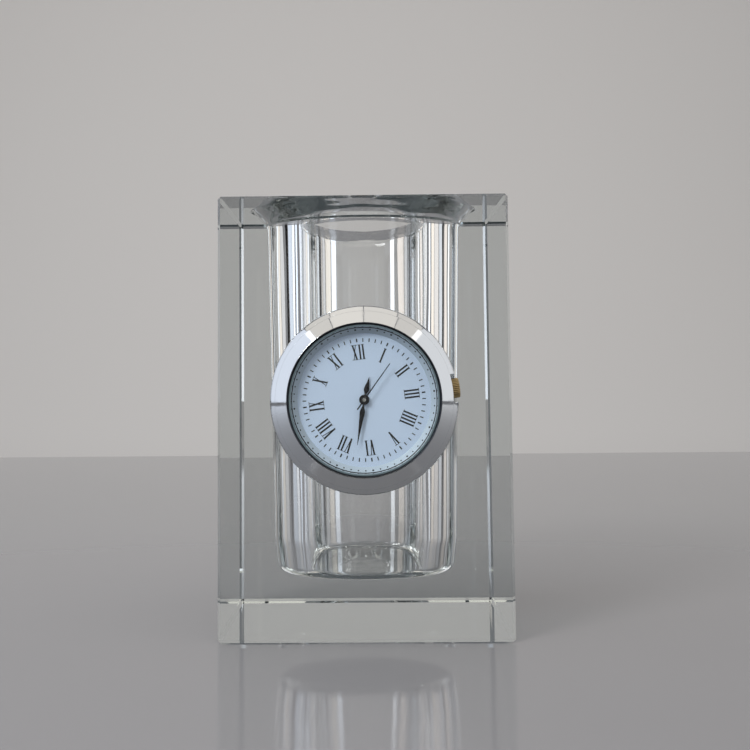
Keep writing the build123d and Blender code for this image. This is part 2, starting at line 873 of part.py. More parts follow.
def make_train_bridge():
    """Plate across the pillars that carries the lower pivots."""
    centre = (0, 0)
    runs = [
        (centre, third_place),
        (third_place, pillar_places[0]),
        (centre, intermediate_place),
        (intermediate_place, pillar_places[1]),
        (intermediate_place, rotor_place),
        (centre, pillar_places[2]),
    ]
    bridge = disc(bridge_bar_width / 2, bridge_bottom, bridge_top)
    for start, end in runs:
        bridge += bar(start, end, bridge_bar_width, bridge_bottom, bridge_top)
    for place in (third_place, intermediate_place, rotor_place, centre):
        bridge -= disc(pivot_radius + running_fit, bridge_bottom - cut_overrun, bridge_top + cut_overrun, place)
    for place in pillar_places:
        bridge -= disc(screw_radius + running_fit, bridge_bottom - cut_overrun, bridge_top + cut_overrun, place)
    return bridge


def make_bridge_screws():
    screws = []
    for place in pillar_places:
        head_low = bridge_bottom - screw_head_height
        screw = disc(screw_head_radius, head_low, bridge_bottom, place)
        screw += disc(screw_radius, bridge_bottom, bridge_bottom + screw_depth, place)
        slot = Box(2 * screw_head_radius + cut_overrun, screw_slot_width, screw_slot_depth + cut_overrun,
                   align=(Align.CENTER, Align.CENTER, Align.MAX))
        screws.append(screw - Pos(place[0], place[1], head_low + screw_slot_depth) * slot)
    return screws


def make_stator():
    shoulder = coil_place[1] + coil_radius + stator_shoulder_gap + stator_arm_width / 2
    left_arm = [
        rotor_place,
        (rotor_place[0] - stator_shoulder_run, shoulder),
        (stator_left_foot[0], shoulder),
        stator_left_foot,
    ]
    right_arm = [rotor_place, (stator_right_foot[0], shoulder), stator_right_foot]
    stator = disc(stator_pole_radius, stator_low, stator_high, rotor_place)
    for arm in (left_arm, right_arm):
        for start, end in zip(arm, arm[1:]):
            stator += bar(start, end, stator_arm_width, stator_low, stator_high)
    hole = disc(magnet_radius + stator_gap, stator_low - cut_overrun, stator_high + cut_overrun, rotor_place)
    return stator - hole


def coil_along(radius, start, end):
    """Round solid along the coil's axis, from one distance to another off its middle."""
    shape = Cylinder(radius, end - start, align=(Align.CENTER, Align.CENTER, Align.MIN))
    return Pos(coil_place[0] + start, coil_place[1], stator_middle) * Rot(0, 90, 0) * shape


def make_coil():
    """Winding with a flange at each end, over the core."""
    half = coil_length / 2
    flange_radius = coil_radius
    winding_share = 0.86
    coil = coil_along(coil_radius * winding_share, -half, half)
    coil += coil_along(flange_radius, -half, coil_flange_width - half)
    coil += coil_along(flange_radius, half - coil_flange_width, half)
    return coil - coil_along(coil_core_radius + held_fit, -half - cut_overrun, half + cut_overrun)


def make_coil_core():
    """Iron rod through the coil that meets the stator's feet."""
    half = coil_length / 2 + coil_core_reach - stator_arm_width / 2 - held_fit
    return coil_along(coil_core_radius, -half, half)


def make_battery():
    top = plate_bottom - battery_gap
    cell = disc(battery_radius, top - battery_height + battery_rim, top, battery_place)
    return cell + disc(battery_radius - battery_rim, top - battery_height, top, battery_place)


def make_battery_clamp():
    """Springy strap under the cell with a leg at each side."""
    high = plate_bottom - battery_gap - battery_height - held_fit
    low = high - strap_thickness
    reach = battery_radius + sliding_fit + strap_thickness
    strap = Box(2 * reach, strap_width, strap_thickness, align=(Align.CENTER, Align.CENTER, Align.MIN))
    strap = Pos(0, 0, low) * strap
    for side in (-1, 1):
        leg = Box(strap_thickness, strap_width, plate_bottom - low,
                  align=(Align.CENTER, Align.CENTER, Align.MIN))
        strap += Pos(side * (reach - strap_thickness / 2), 0, low) * leg
    return Pos(battery_place[0], battery_place[1], 0) * Rot(0, 0, strap_direction) * strap


board_high = plate_bottom - board_drop
board_low = board_high - board_thickness


def make_circuit_board():
    """Curved board beside the train."""
    steps = 12
    sweep = board_end_angle - board_start_angle
    angles = [board_start_angle + sweep * step / steps for step in range(steps + 1)]
    outline = [polar(movement_reach, angle) for angle in angles]
    outline += [polar(movement_reach - board_width, angle) for angle in reversed(angles)]
    return flat(outline, board_low, board_high)


def make_quartz_can():
    place = polar(movement_reach - quartz_inset, quartz_angle)
    can = Cylinder(quartz_radius, quartz_length)
    level = board_low - quartz_radius - held_fit
    return Pos(place[0], place[1], level) * Rot(0, 0, quartz_angle) * Rot(90, 0, 0) * can


def make_clock_chip():
    place = polar(movement_reach - chip_inset, chip_angle)
    waist_share = 0.6
    return disc(chip_radius, board_low - chip_height * waist_share, board_low, place) + disc(
        chip_radius * waist_share, board_low - chip_height, board_low, place)


def make_movement_holder():
    """Plastic ring with two skins, a web, ribs and bosses for the dial's feet."""
    outer_inner = holder_radius - holder_skin
    inner_outer = holder_bore + holder_skin
    ledge_inner = holder_bore - holder_ledge_width
    holder = tube(outer_inner, holder_radius, holder_bottom, dial_bottom)
    holder += tube(holder_bore, inner_outer, web_bottom, dial_bottom)
    holder += tube(ledge_inner, holder_radius - holder_skin / 2, web_bottom, plate_bottom)
    holder += tube(inner_outer - holder_skin / 2, holder_radius - holder_skin / 2, web_bottom, web_top)
    for rib in range(holder_rib_count):
        angle = (rib + 0.5) * 360 / holder_rib_count
        length = holder_radius - inner_outer - holder_skin / 2 + held_fit
        shape = Box(length, holder_rib_width, dial_bottom - web_bottom,
                    align=(Align.MIN, Align.CENTER, Align.MIN))
        holder += Rot(0, 0, angle) * Pos(inner_outer - held_fit, 0, web_bottom) * shape
    for angle in dial_foot_angles:
        place = polar(dial_foot_ring_radius, angle)
        holder += disc(holder_boss_radius, web_bottom, dial_bottom, place)
    for angle in dial_foot_angles:
        place = polar(dial_foot_ring_radius, angle)
        holder -= disc(dial_foot_radius + held_fit, web_top, dial_bottom + cut_overrun, place)
    stem_hole = radial_disc(stem_radius + 2 * sliding_fit, plate_radius - cut_overrun,
                            case_bore + cut_overrun, stem_level)
    return holder - stem_hole


def make_crown_tube():
    tube_start = case_bore
    outside = radial_disc(crown_tube_radius, tube_start, notch_floor_radius, stem_level)
    return outside - radial_disc(crown_tube_bore, tube_start - cut_overrun,
                                 notch_floor_radius + cut_overrun, stem_level)


def make_crown_gasket():
    """Ring round the stem inside the tube, near its outer end."""
    end = notch_floor_radius - crown_clearance - crown_travel
    start = end - crown_gasket_length
    outside = radial_disc(crown_tube_bore - running_fit, start, end, stem_level)
    return outside - radial_disc(stem_radius + running_fit, start - cut_overrun, end + cut_overrun, stem_level)


def make_setting_stem():
    return radial_disc(stem_radius, stem_inner_radius, crown_base_radius + crown_length / 2, stem_level)


def make_crown():
    """Fluted knob on the end of the stem."""
    points = []
    for flute in range(crown_flute_count):
        middle = flute * 360 / crown_flute_count
        quarter = 90 / crown_flute_count
        points.append(polar(crown_radius, middle - quarter))
        points.append(polar(crown_radius, middle + quarter))
        points.append(polar(crown_radius - crown_flute_depth, middle + 2 * quarter))
    knob = flat(points, 0, crown_length)
    cap = turned(
        [
            (0, -cut_overrun),
            (crown_radius + cut_overrun, -cut_overrun),
            (crown_radius + cut_overrun, crown_length - crown_chamfer - cut_overrun),
            (crown_radius - crown_chamfer, crown_length),
            (0, crown_length),
        ]
    )
    knob = knob & cap
    knob -= disc(stem_radius + held_fit, -cut_overrun, crown_length / 2)
    return Pos(crown_base_radius, 0, stem_level) * Rot(0, 90, 0) * knob


clock_pieces = {
    "mounting_gasket": make_mounting_gasket,
    "case_body": make_case_body,
    "case_back": make_case_back,
    "back_gasket": make_back_gasket,
    "bezel": make_bezel,
    "lens": make_lens,
    "lens_gasket": make_lens_gasket,
    "chapter_ring": make_chapter_ring,
    "chapter_dots": make_chapter_dots,
    "dial": make_dial,
    "dial_numerals": make_dial_numerals,
    "minute_track": make_minute_track,
    "hour_hand": make_hour_hand,
    "minute_hand": make_minute_hand,
    "second_hand": make_second_hand,
    "hour_wheel": make_hour_wheel,
    "minute_wheel": make_minute_wheel,
    "cannon_pinion": make_cannon_pinion,
    "centre_wheel": make_centre_wheel,
    "third_wheel": make_third_wheel,
    "second_wheel": make_second_wheel,
    "intermediate_wheel": make_intermediate_wheel,
    "rotor": make_rotor,
    "stator": make_stator,
    "coil": make_coil,
    "coil_core": make_coil_core,
    "main_plate": make_main_plate,
    "train_bridge": make_train_bridge,
    "bridge_screws": make_bridge_screws,
    "battery": make_battery,
    "battery_clamp": make_battery_clamp,
    "circuit_board": make_circuit_board,
    "quartz_can": make_quartz_can,
    "clock_chip": make_clock_chip,
    "movement_holder": make_movement_holder,
    "crown_tube": make_crown_tube,
    "crown_gasket": make_crown_gasket,
    "setting_stem": make_setting_stem,
    "crown": make_crown,
}


def save(name, shape):
    """Write one node's file."""
    solids = []
    for piece in shape if isinstance(shape, list) else [shape]:
        solids.extend(piece.solids())
    whole = solids[0] if len(solids) == 1 else Compound(children=solids)
    export_step(whole, os.path.join("parts", name + ".step"))


os.makedirs("parts", exist_ok=True)
save("crystal_block", make_crystal_block())
for piece_name, make_piece in clock_pieces.items():
    made = make_piece()
    if isinstance(made, list):
        save(piece_name, [clock_frame.location * piece for piece in made])
    else:
        save(piece_name, clock_frame.location * made)
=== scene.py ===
# %% [markdown]
# # A crystal pen holder with a clock
#
# The object is one block of clear optical crystal. A round well in its top takes pens, and a small quartz
# clock with a chrome bezel is pressed into its front face. The CAD model gives every piece its place and
# size. This script dresses that model in Blender: it rebuilds what shows with finer meshes, gives every piece
# a finish made of shader nodes, and sets up a stage, lamps and a camera.
#
# The CAD model could simply be painted. Its round surfaces are made of flat facets, though, and clear crystal
# and polished chrome show every facet. So the pieces that are seen get meshes whose corners carry exact
# normals.

import json
import math

import bpy
from mathutils import Matrix, Vector
from mathutils.geometry import tessellate_polygon


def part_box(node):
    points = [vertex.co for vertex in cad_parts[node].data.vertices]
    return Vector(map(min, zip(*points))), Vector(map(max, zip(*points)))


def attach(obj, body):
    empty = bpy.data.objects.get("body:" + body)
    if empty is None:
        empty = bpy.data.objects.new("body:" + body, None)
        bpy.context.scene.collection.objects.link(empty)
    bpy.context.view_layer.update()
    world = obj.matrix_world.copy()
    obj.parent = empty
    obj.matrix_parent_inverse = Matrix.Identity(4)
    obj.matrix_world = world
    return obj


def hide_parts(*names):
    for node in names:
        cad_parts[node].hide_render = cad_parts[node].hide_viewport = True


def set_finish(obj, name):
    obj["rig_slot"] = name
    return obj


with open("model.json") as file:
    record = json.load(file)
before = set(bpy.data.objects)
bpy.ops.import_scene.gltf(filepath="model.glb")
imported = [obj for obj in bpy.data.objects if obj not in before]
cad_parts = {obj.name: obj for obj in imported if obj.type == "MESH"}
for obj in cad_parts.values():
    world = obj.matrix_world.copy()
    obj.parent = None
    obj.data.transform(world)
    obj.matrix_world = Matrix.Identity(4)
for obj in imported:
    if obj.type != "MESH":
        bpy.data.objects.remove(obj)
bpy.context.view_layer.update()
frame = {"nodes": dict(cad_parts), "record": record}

# %% [markdown]
# ## How a mesh carries exact normals
#
# A round surface of flat faces looks smooth when each corner of a face points the way that the true surface
# points there. Blender can guess these directions from the neighbouring faces, but the guess bends them on a
# flat face beside a round edge, and a bent normal makes clear crystal look like a lens. Here each face is a
# list of corners, and a corner is a point with its own normal. One function turns such faces into an object.

# %% Turn faces with normals into an object
MM = 0.001
UPRIGHT = Matrix.Scale(MM, 4)
GRID, GRID_SHIFT = 1e7, 0.137  # points within a tenth of a micron are one


def solid(name, faces, place=UPRIGHT):
    """Mesh object from faces whose corners are (point, normal) in millimetres, put in place by a matrix."""
    turn = place.to_3x3().normalized()
    vertices, polygons, normals, seen = [], [], [], {}
    for face in faces:
        polygon = []
        for point, normal in face:
            spot = place @ Vector(point)
            key = tuple(round(value * GRID + GRID_SHIFT) for value in spot)
            if key not in seen:
                seen[key] = len(vertices)
                vertices.append(spot)
            polygon.append(seen[key])
            normals.append((turn @ Vector(normal)).normalized())
        polygons.append(polygon)
    mesh = bpy.data.meshes.new(name)
    mesh.from_pydata(vertices, [], polygons, shade_flat=False)
    mesh.normals_split_custom_set(normals)
    obj = bpy.data.objects.new(name, mesh)
    bpy.context.scene.collection.objects.link(obj)
    print(name, "vertices:", len(vertices), "faces:", len(polygons))
    return obj


# %% [markdown]
# ## Turned shapes
#
# The well, the bezel, the lens and most pieces of the clock are round, as if turned on a lathe. Blender's
# Screw modifier could spin an outline, but it doesn't know which corners are rounded by how much. The
# function below walks along an outline of (radius, height) corners, puts an arc at each corner that has a
# round, and keeps the direction of the surface. The surface faces to the right of the walk.

# %% Walk along an outline and spin it
SEGMENTS = 288
ARC_STEPS = 6
ON_AXIS = 0.001  # a corner nearer to the axis lies on it, and two corners of a face are one there


def right_of(way):
    return Vector((way.y, -way.x))


def outline(corners, rounds=None, closed=True, steps=ARC_STEPS):
    """Runs of an outline as (start, end, normal at the start, normal at the end)."""
    corners = [Vector(corner) for corner in corners]
    count = len(corners)
    ways = [(corners[(i + 1) % count] - corners[i]).normalized() for i in range(count)]
    arcs = {}
    for i, radius in (rounds or {}).items():
        before, after = ways[i - 1], ways[i]
        turn = math.atan2(before.x * after.y - before.y * after.x, before.dot(after))
        bulge = math.copysign(radius, turn)
        entry = corners[i] - before * radius * math.tan(abs(turn) / 2)
        centre = entry - right_of(before) * bulge
        normals = [Matrix.Rotation(turn * step / steps, 2) @ right_of(before) for step in range(steps + 1)]
        arcs[i] = [(centre + normal * bulge, normal) for normal in normals]
    runs = []
    for i in range(count):
        runs += [(a[0], b[0], a[1], b[1]) for a, b in zip(arcs.get(i, []), arcs.get(i, [])[1:])]
        if i == count - 1 and not closed:
            break
        start = arcs[i][-1][0] if i in arcs else corners[i]
        following = (i + 1) % count
        end = arcs[following][0][0] if following in arcs else corners[following]
        runs.append((start, end, right_of(ways[i]), right_of(ways[i])))
    return runs


def circle(radius, height, segments=SEGMENTS):
    return [(radius * math.cos(a), radius * math.sin(a), height)
            for a in (2 * math.pi * step / segments for step in range(segments))]


def spun(runs, segments=SEGMENTS):
    """Faces of an outline spun round the upright axis."""
    faces = []
    for start, end, start_normal, end_normal in runs:
        for step in range(segments):
            a, b = (2 * math.pi * turn / segments for turn in (step, step + 1))
            ring = [(start, start_normal, a), (start, start_normal, b),
                    (end, end_normal, b), (end, end_normal, a)]
            if start.x < ON_AXIS:
                ring.pop(1)
            if end.x < ON_AXIS:
                ring.pop(-1)
            faces.append([((point.x * math.cos(t), point.x * math.sin(t), point.y),
                           (normal.x * math.cos(t), normal.x * math.sin(t), normal.y))
                          for point, normal, t in ring])
    return faces


print("a full turn has", SEGMENTS, "steps")

# %% [markdown]
# ## The crystal block
#
# The block is sawn from optical crystal, ground flat and polished, with a narrow polished chamfer on every
# edge. The well is drilled and polished too. It tapers a little and closes in over its foot, its floor has a
# rounded corner, and a soft round leads to the wide bevel at its mouth. These rounds matter more than they
# seem to: the front wall of the well is a lens, and its slope bends the view of the far side. The round
# pocket in the front holds the clock.
#
# Clear crystal bends light at every surface, so the block is one closed mesh: six flat sides, two of them
# with a round hole, the chamfers between them, and the walls of the well and the pocket. The flat sides stay
# exactly flat, because any bend in them would show like a flaw in a window.

# %% Build the block
block_low, block_high = (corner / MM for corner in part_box("crystal_block"))
FRONT, BLOCK_TOP = block_low.y, block_high.z
EDGE_CHAMFER = 0.6
WELL_MOUTH, WELL_BEVEL, RIM_ROUND = 23.8, 3.6, 4.5
FOOT_RADIUS, FOOT_HEIGHT, FOOT_ROUND = 22.2, 8.0, 20.0
FLOOR_RADIUS, WELL_FLOOR, FLOOR_ROUND = 21.2, 12.0, 2.5
POCKET_RADIUS, POCKET_DEPTH, POCKET_CHAMFER = 17.56, 4.0, 0.3
CLOCK_HEIGHT, CLOCK_LEAN = 53.6, math.radians(6.8)

CLOCK = Matrix((
    (math.cos(CLOCK_LEAN), -math.sin(CLOCK_LEAN), 0, 0),
    (0, 0, -1, FRONT),
    (math.sin(CLOCK_LEAN), math.cos(CLOCK_LEAN), 0, CLOCK_HEIGHT),
    (0, 0, 0, 1),
))
ON_CLOCK = UPRIGHT @ CLOCK


def facing(points, normal):
    """Flat face with its corners in the order that makes it face along the normal."""
    corners = [Vector(point) for point in points]
    across = (corners[1] - corners[0]).cross(corners[2] - corners[1])
    if across.dot(Vector(normal)) < 0:
        corners.reverse()
    return [(corner, normal) for corner in corners]


def chamfered_box(low, high, chamfer, holes):
    """Box with chamfered edges. holes gives the loop of points that opens a side, by (axis, end)."""
    ends = (low, high)

    def corner(signs, axis):
        return [ends[s][i] + (0 if i == axis else chamfer * (1, -1)[s]) for i, s in enumerate(signs)]

    def towards(*sides):
        normal = Vector((0, 0, 0))
        for axis, end in sides:
            normal[axis] = (-1, 1)[end]
        return normal.normalized()

    faces = []
    every = [(x, y, z) for x in (0, 1) for y in (0, 1) for z in (0, 1)]
    for axis in range(3):
        first, second = (axis + 1) % 3, (axis + 2) % 3
        for end in (0, 1):
            loop = []
            for s, t in ((0, 0), (1, 0), (1, 1), (0, 1)):
                signs = [0, 0, 0]
                signs[axis], signs[first], signs[second] = end, s, t
                loop.append(Vector(corner(signs, axis)))
            loops = [loop] + [[Vector(p) for p in hole] for key, hole in holes.items() if key == (axis, end)]
            points = [point for each in loops for point in each]
            for triangle in tessellate_polygon(loops) if len(loops) > 1 else [range(4)]:
                faces.append(facing([points[i] for i in triangle], towards((axis, end))))
            for other_end in (0, 1):
                line = [signs for signs in every if signs[axis] == end and signs[first] == other_end]
                strip = [corner(line[0], axis), corner(line[1], axis),
                         corner(line[1], first), corner(line[0], first)]
                faces.append(facing(strip, towards((axis, end), (first, other_end))))
    for signs in every:
        faces.append(facing([corner(signs, axis) for axis in range(3)], towards(*enumerate(signs))))
    return faces


well = outline([(WELL_MOUTH + WELL_BEVEL, BLOCK_TOP), (WELL_MOUTH, BLOCK_TOP - WELL_BEVEL),
                (FOOT_RADIUS, WELL_FLOOR + FOOT_HEIGHT), (FLOOR_RADIUS, WELL_FLOOR), (0, WELL_FLOOR)],
               {1: RIM_ROUND, 2: FOOT_ROUND, 3: FLOOR_ROUND}, closed=False, steps=12)
pocket = outline([(POCKET_RADIUS + POCKET_CHAMFER, 0), (POCKET_RADIUS, -POCKET_CHAMFER),
                  (POCKET_RADIUS, -POCKET_DEPTH), (0, -POCKET_DEPTH)], closed=False)
pocket_rim = [tuple(CLOCK @ Vector(point)) for point in circle(POCKET_RADIUS + POCKET_CHAMFER, 0)]
openings = {(2, 1): circle(WELL_MOUTH + WELL_BEVEL, BLOCK_TOP), (1, 0): pocket_rim}
turn_only = CLOCK.to_3x3()
in_front = [[(CLOCK @ Vector(point), turn_only @ Vector(normal)) for point, normal in face]
            for face in spun(pocket)]
block = solid("block", chamfered_box(block_low, block_high, EDGE_CHAMFER, openings) + spun(well) + in_front)
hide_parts("crystal_block")
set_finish(block, "crystal")
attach(block, "block")

# %% [markdown]
# ## Case and bezel
#
# The clock is an insert. A turned can goes into the pocket, and a wide ring on it rests just off the crystal.
# The bezel is a cone that snaps into the ring. Both are brass under polished chrome, so they act as mirrors,
# and the round of each edge is a thin bright line. The front of the ring slopes a little, so it carries the
# line of the cone on and shows as a thin lighter band round it.
#
# The can and its ring are one outline, but the ring has a notch for the crown. A Boolean modifier cuts it, as
# a mill would. The cut mesh gets new normals from a Weighted Normal modifier, which keeps the flat faces
# flat.

# %% Build the case and the bezel
RING_LOW, RING_TOP, RING_RADIUS = 0.2, 5.0, 20.8
RING_ROUND, RING_FRONT_ROUND, RING_SLOPE = 0.4, 0.8, 0.85
CAN_RADIUS, CAN_END, CASE_BORE, COUNTERBORE, COUNTERBORE_FLOOR = 16.9, -3.4, 16.1, 17.41, 3.8
NOTCH_FLOOR, NOTCH_WIDTH, STEM_LEVEL, STEM_HOLE = 19.0, 6.4, 2.535, 1.1
LENS_SEAT, SKIRT_RADIUS, SKIRT_LOW = 16.44, 17.39, 3.82
BEZEL_RADIUS, BEZEL_EDGE, BEZEL_LIP, BEZEL_TOP = 19.5, 5.9, 16.85, 7.5
LIP_DROP, BEZEL_ROUND = 0.5, 0.12
SHARP_ANGLE = 30


def cut(obj, cutters):
    """Cuts other objects out of one with Boolean modifiers, and keeps its flat faces flat."""
    for cutter in cutters:
        modifier = obj.modifiers.new("cut", "BOOLEAN")
        modifier.object, modifier.operation, modifier.solver = cutter, "DIFFERENCE", "EXACT"
    depsgraph = bpy.context.evaluated_depsgraph_get()
    obj.data = bpy.data.meshes.new_from_object(obj.evaluated_get(depsgraph))
    obj.modifiers.clear()
    for cutter in cutters:
        bpy.data.objects.remove(cutter)
    obj.data.set_sharp_from_angle(angle=math.radians(SHARP_ANGLE))
    weighted = obj.modifiers.new("flat faces", "WEIGHTED_NORMAL")
    weighted.keep_sharp = True


case = solid("case", spun(outline(
    [(CASE_BORE, CAN_END), (CAN_RADIUS, CAN_END), (CAN_RADIUS, RING_LOW), (RING_RADIUS, RING_LOW),
     (RING_RADIUS, RING_TOP - RING_SLOPE), (BEZEL_RADIUS, RING_TOP), (COUNTERBORE, RING_TOP),
     (COUNTERBORE, COUNTERBORE_FLOOR), (CASE_BORE, COUNTERBORE_FLOOR)],
    {1: 0.15, 3: RING_ROUND, 4: RING_FRONT_ROUND, 5: 0.1})), ON_CLOCK)
notch_low = Vector((NOTCH_FLOOR, -NOTCH_WIDTH / 2, RING_LOW - 1))
notch_high = Vector((RING_RADIUS + 1, NOTCH_WIDTH / 2, RING_TOP + 1))
notch = solid("notch", chamfered_box(notch_low, notch_high, RING_ROUND / 2, {}), ON_CLOCK)
ALONG_STEM = ON_CLOCK @ Matrix.Translation((0, 0, STEM_LEVEL)) @ Matrix.Rotation(math.pi / 2, 4, "Y")
stem_hole = solid("stem hole", spun(outline(
    [(0, CASE_BORE - 1), (STEM_HOLE, CASE_BORE - 1), (STEM_HOLE, RING_RADIUS), (0, RING_RADIUS)],
    closed=False), 48), ALONG_STEM)
cut(case, [notch, stem_hole])
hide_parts("case_body")
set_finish(case, "chrome_case")
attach(case, "clock")

bezel = solid("bezel_cone", spun(outline(
    [(LENS_SEAT, SKIRT_LOW), (SKIRT_RADIUS, SKIRT_LOW), (SKIRT_RADIUS, RING_TOP), (BEZEL_RADIUS, RING_TOP),
     (BEZEL_RADIUS, BEZEL_EDGE), (BEZEL_LIP, BEZEL_TOP), (LENS_SEAT, BEZEL_TOP - LIP_DROP)],
    {4: BEZEL_ROUND, 5: BEZEL_ROUND})), ON_CLOCK)
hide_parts("bezel")
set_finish(bezel, "chrome_case")
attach(bezel, "clock")

# %% [markdown]
# ## Lens, its gasket and the ring round the dial
#
# A flat disc of mineral glass lies in a thin grey plastic gasket inside the bezel. Its edge has a ground
# chamfer. Below it, a sloped grey ring leads down to the dial and carries the minute dots. Its top under the
# lens edge is painted black as shade further down, and that shows as a dark line at the lens edge. All three
# are outlines spun round the clock's axis.

# %% Build the lens, its gasket and the sloped ring
LENS_RADIUS, LENS_LOW, LENS_TOP, LENS_CHAMFER = 16.0, 6.3, 7.1, 0.12
DIAL_TOP = 4.785
SLOPE_INNER, SLOPE_OUTER, SLOPE_LIP, SHADE_RADIUS = 14.62, 16.12, 0.1, 15.72
SLOPE_RISE = (LENS_LOW - DIAL_TOP - SLOPE_LIP) / (SLOPE_OUTER - SLOPE_INNER)
SHADE_LEVEL = LENS_LOW - (SLOPE_OUTER - SHADE_RADIUS) * SLOPE_RISE
FIT = 0.02


def turned_piece(name, corners, node, slot_name, rounds=None, body="clock"):
    """Turned piece of the clock that stands for a CAD node."""
    obj = solid(name, spun(outline(corners, rounds, closed=corners[0][0] > 0)), ON_CLOCK)
    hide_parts(node)
    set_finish(obj, slot_name)
    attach(obj, body)
    return obj


lens = turned_piece(
    "lens_glass", [(0, LENS_LOW), (LENS_RADIUS, LENS_LOW), (LENS_RADIUS, LENS_TOP - LENS_CHAMFER),
                   (LENS_RADIUS - LENS_CHAMFER, LENS_TOP), (0, LENS_TOP)], "lens", "clear_lens")
lens_ring = turned_piece(
    "lens_ring", [(LENS_RADIUS + FIT, LENS_LOW), (LENS_SEAT - FIT, LENS_LOW),
                  (LENS_SEAT - FIT, BEZEL_TOP - LIP_DROP), (LENS_RADIUS + FIT, BEZEL_TOP - LIP_DROP)],
    "lens_gasket", "grey_gasket", {2: 0.08, 3: 0.08})
slope = turned_piece(
    "sloped_ring", [(SLOPE_INNER, DIAL_TOP), (LENS_SEAT - FIT, DIAL_TOP), (LENS_SEAT - FIT, LENS_LOW),
                    (SLOPE_OUTER, LENS_LOW), (SHADE_RADIUS, SHADE_LEVEL), (SLOPE_INNER, DIAL_TOP + SLOPE_LIP)],
    "chapter_ring", "grey_ring", {3: 0.05, 5: 0.03})

# %% [markdown]
# ## Hands
#
# The hour and minute hands are stamped leaves: a narrow neck at the hub, a wide belly and a fine tip, with a
# ridge along the middle so that one half catches the light while the other stays dark. The second hand is a
# thin strip with a short tail, riveted to a turned steel cap that goes over the arbor.
#
# A flat outline would read as a sticker, so each leaf is built from stations along its length. At each
# station the hand has a left edge, a ridge and a right edge, and the faces between stations are the two
# bevelled halves. The bright end of the arbor is a small piece of its own in the middle of the second hand's
# boss.

# %% Build the hands
HAND_THICKNESS, HAND_RIM = 0.15, 0.05
HOUR_LOW, MINUTE_LOW, SECOND_HUB_LOW, SECOND_HUB_TOP = 5.085, 5.485, 5.8, 6.15
HOUR_READING, MINUTE_READING, SECOND_READING = 19.8, 196.0, 42.6
TIP_WIDTH, TIP_TAPER, NECK_STEPS, TIP_STEPS, HUB_SEGMENTS = 0.05, 1.15, 8, 12, 96


def face_normal(points):
    a, b, c = (Vector(point) for point in points[:3])
    return (b - a).cross(c - b).normalized()


def bladed(stations, low, rim, top):
    """Faces of a blade along +X from stations of (distance, left, right), with a ridge between the edges."""
    faces = []

    def section(distance, left, right):
        middle = (left + right) / 2
        return [(distance, right, low), (distance, right, low + rim), (distance, middle, top),
                (distance, left, low + rim), (distance, left, low)]

    rings = [section(*station) for station in stations]
    for near, far in zip(rings, rings[1:]):
        for i in range(5):
            j = (i + 1) % 5
            points = [near[i], near[j], far[j], far[i]]
            points.reverse()
            normal = face_normal(points)
            faces.append([(point, normal) for point in points])
    faces.append(facing(rings[0], (-1, 0, 0)))
    faces.append(facing(rings[-1], (1, 0, 0)))
    return faces


def leaf(length, belly, half_width, neck, hub):
    """Stations of a leaf hand: smooth from the neck to the belly, then a slim curve to the tip."""
    stations = [(hub * 0.7, neck, -neck)]
    for step in range(NECK_STEPS + 1):
        share = step / NECK_STEPS
        width = neck + (half_width - neck) * (3 - 2 * share) * share * share
        stations.append((hub + (belly - hub) * share, width, -width))
    for step in range(1, TIP_STEPS + 1):
        share = step / TIP_STEPS
        width = TIP_WIDTH + (half_width - TIP_WIDTH) * (1 - share) ** TIP_TAPER
        stations.append((belly + (length - belly) * share, width, -width))
    return stations


def pointing(reading):
    """Place on the dial where +X points at a reading, in degrees clockwise from twelve."""
    return ON_CLOCK @ Matrix.Rotation(math.radians(90 - reading), 4, "Z")


def hub_outline(inner, radius, low, top):
    return outline([(inner, low), (radius, low), (radius, top), (inner, top)], {1: 0.03, 2: 0.06})


def hand(name, node, body, reading, faces):
    obj = solid(name, faces, pointing(reading))
    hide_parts(node)
    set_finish(obj, "black_lacquer")
    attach(obj, body)
    return obj


hour_top, minute_top = HOUR_LOW + HAND_THICKNESS, MINUTE_LOW + HAND_THICKNESS
hour_leaf = leaf(length=5.1, belly=2.4, half_width=0.62, neck=0.16, hub=1.05)
hour_hand = hand("hour_leaf", "hour_hand", "hours", HOUR_READING,
                 bladed(hour_leaf, HOUR_LOW, HAND_RIM, hour_top)
                 + spun(hub_outline(0.79, 1.12, HOUR_LOW, hour_top), HUB_SEGMENTS))
minute_leaf = leaf(length=9.9, belly=2.75, half_width=0.57, neck=0.15, hub=0.9)
minute_hand = hand("minute_leaf", "minute_hand", "minutes", MINUTE_READING,
                   bladed(minute_leaf, MINUTE_LOW, HAND_RIM, minute_top)
                   + spun(hub_outline(0.57, 0.95, MINUTE_LOW, minute_top), HUB_SEGMENTS))

STRIP_RIM, STRIP_RIDGE, BOSS_HEIGHT = 0.06, 0.07, 0.12
BOSS_BORE, BOSS_RADIUS, CAP_RADIUS, CAP_DISH_RADIUS, CAP_DISH = 0.4, 0.6, 0.39, 0.24, 0.05
second_low = SECOND_HUB_LOW + HAND_THICKNESS
second_strip = [(-2.6, 0.14, -0.14), (-1.2, 0.14, -0.14), (0, 0.14, -0.14), (9.7, 0.09, -0.09)]
second_boss = outline([(BOSS_BORE, SECOND_HUB_LOW), (BOSS_RADIUS, SECOND_HUB_LOW),
                       (BOSS_RADIUS, second_low + BOSS_HEIGHT), (BOSS_BORE, second_low + BOSS_HEIGHT)],
                      {1: 0.05, 2: 0.1})
second_hand = hand("second_strip", "second_hand", "seconds", SECOND_READING,
                   bladed(second_strip, second_low, STRIP_RIM, second_low + STRIP_RIDGE)
                   + spun(second_boss, HUB_SEGMENTS))
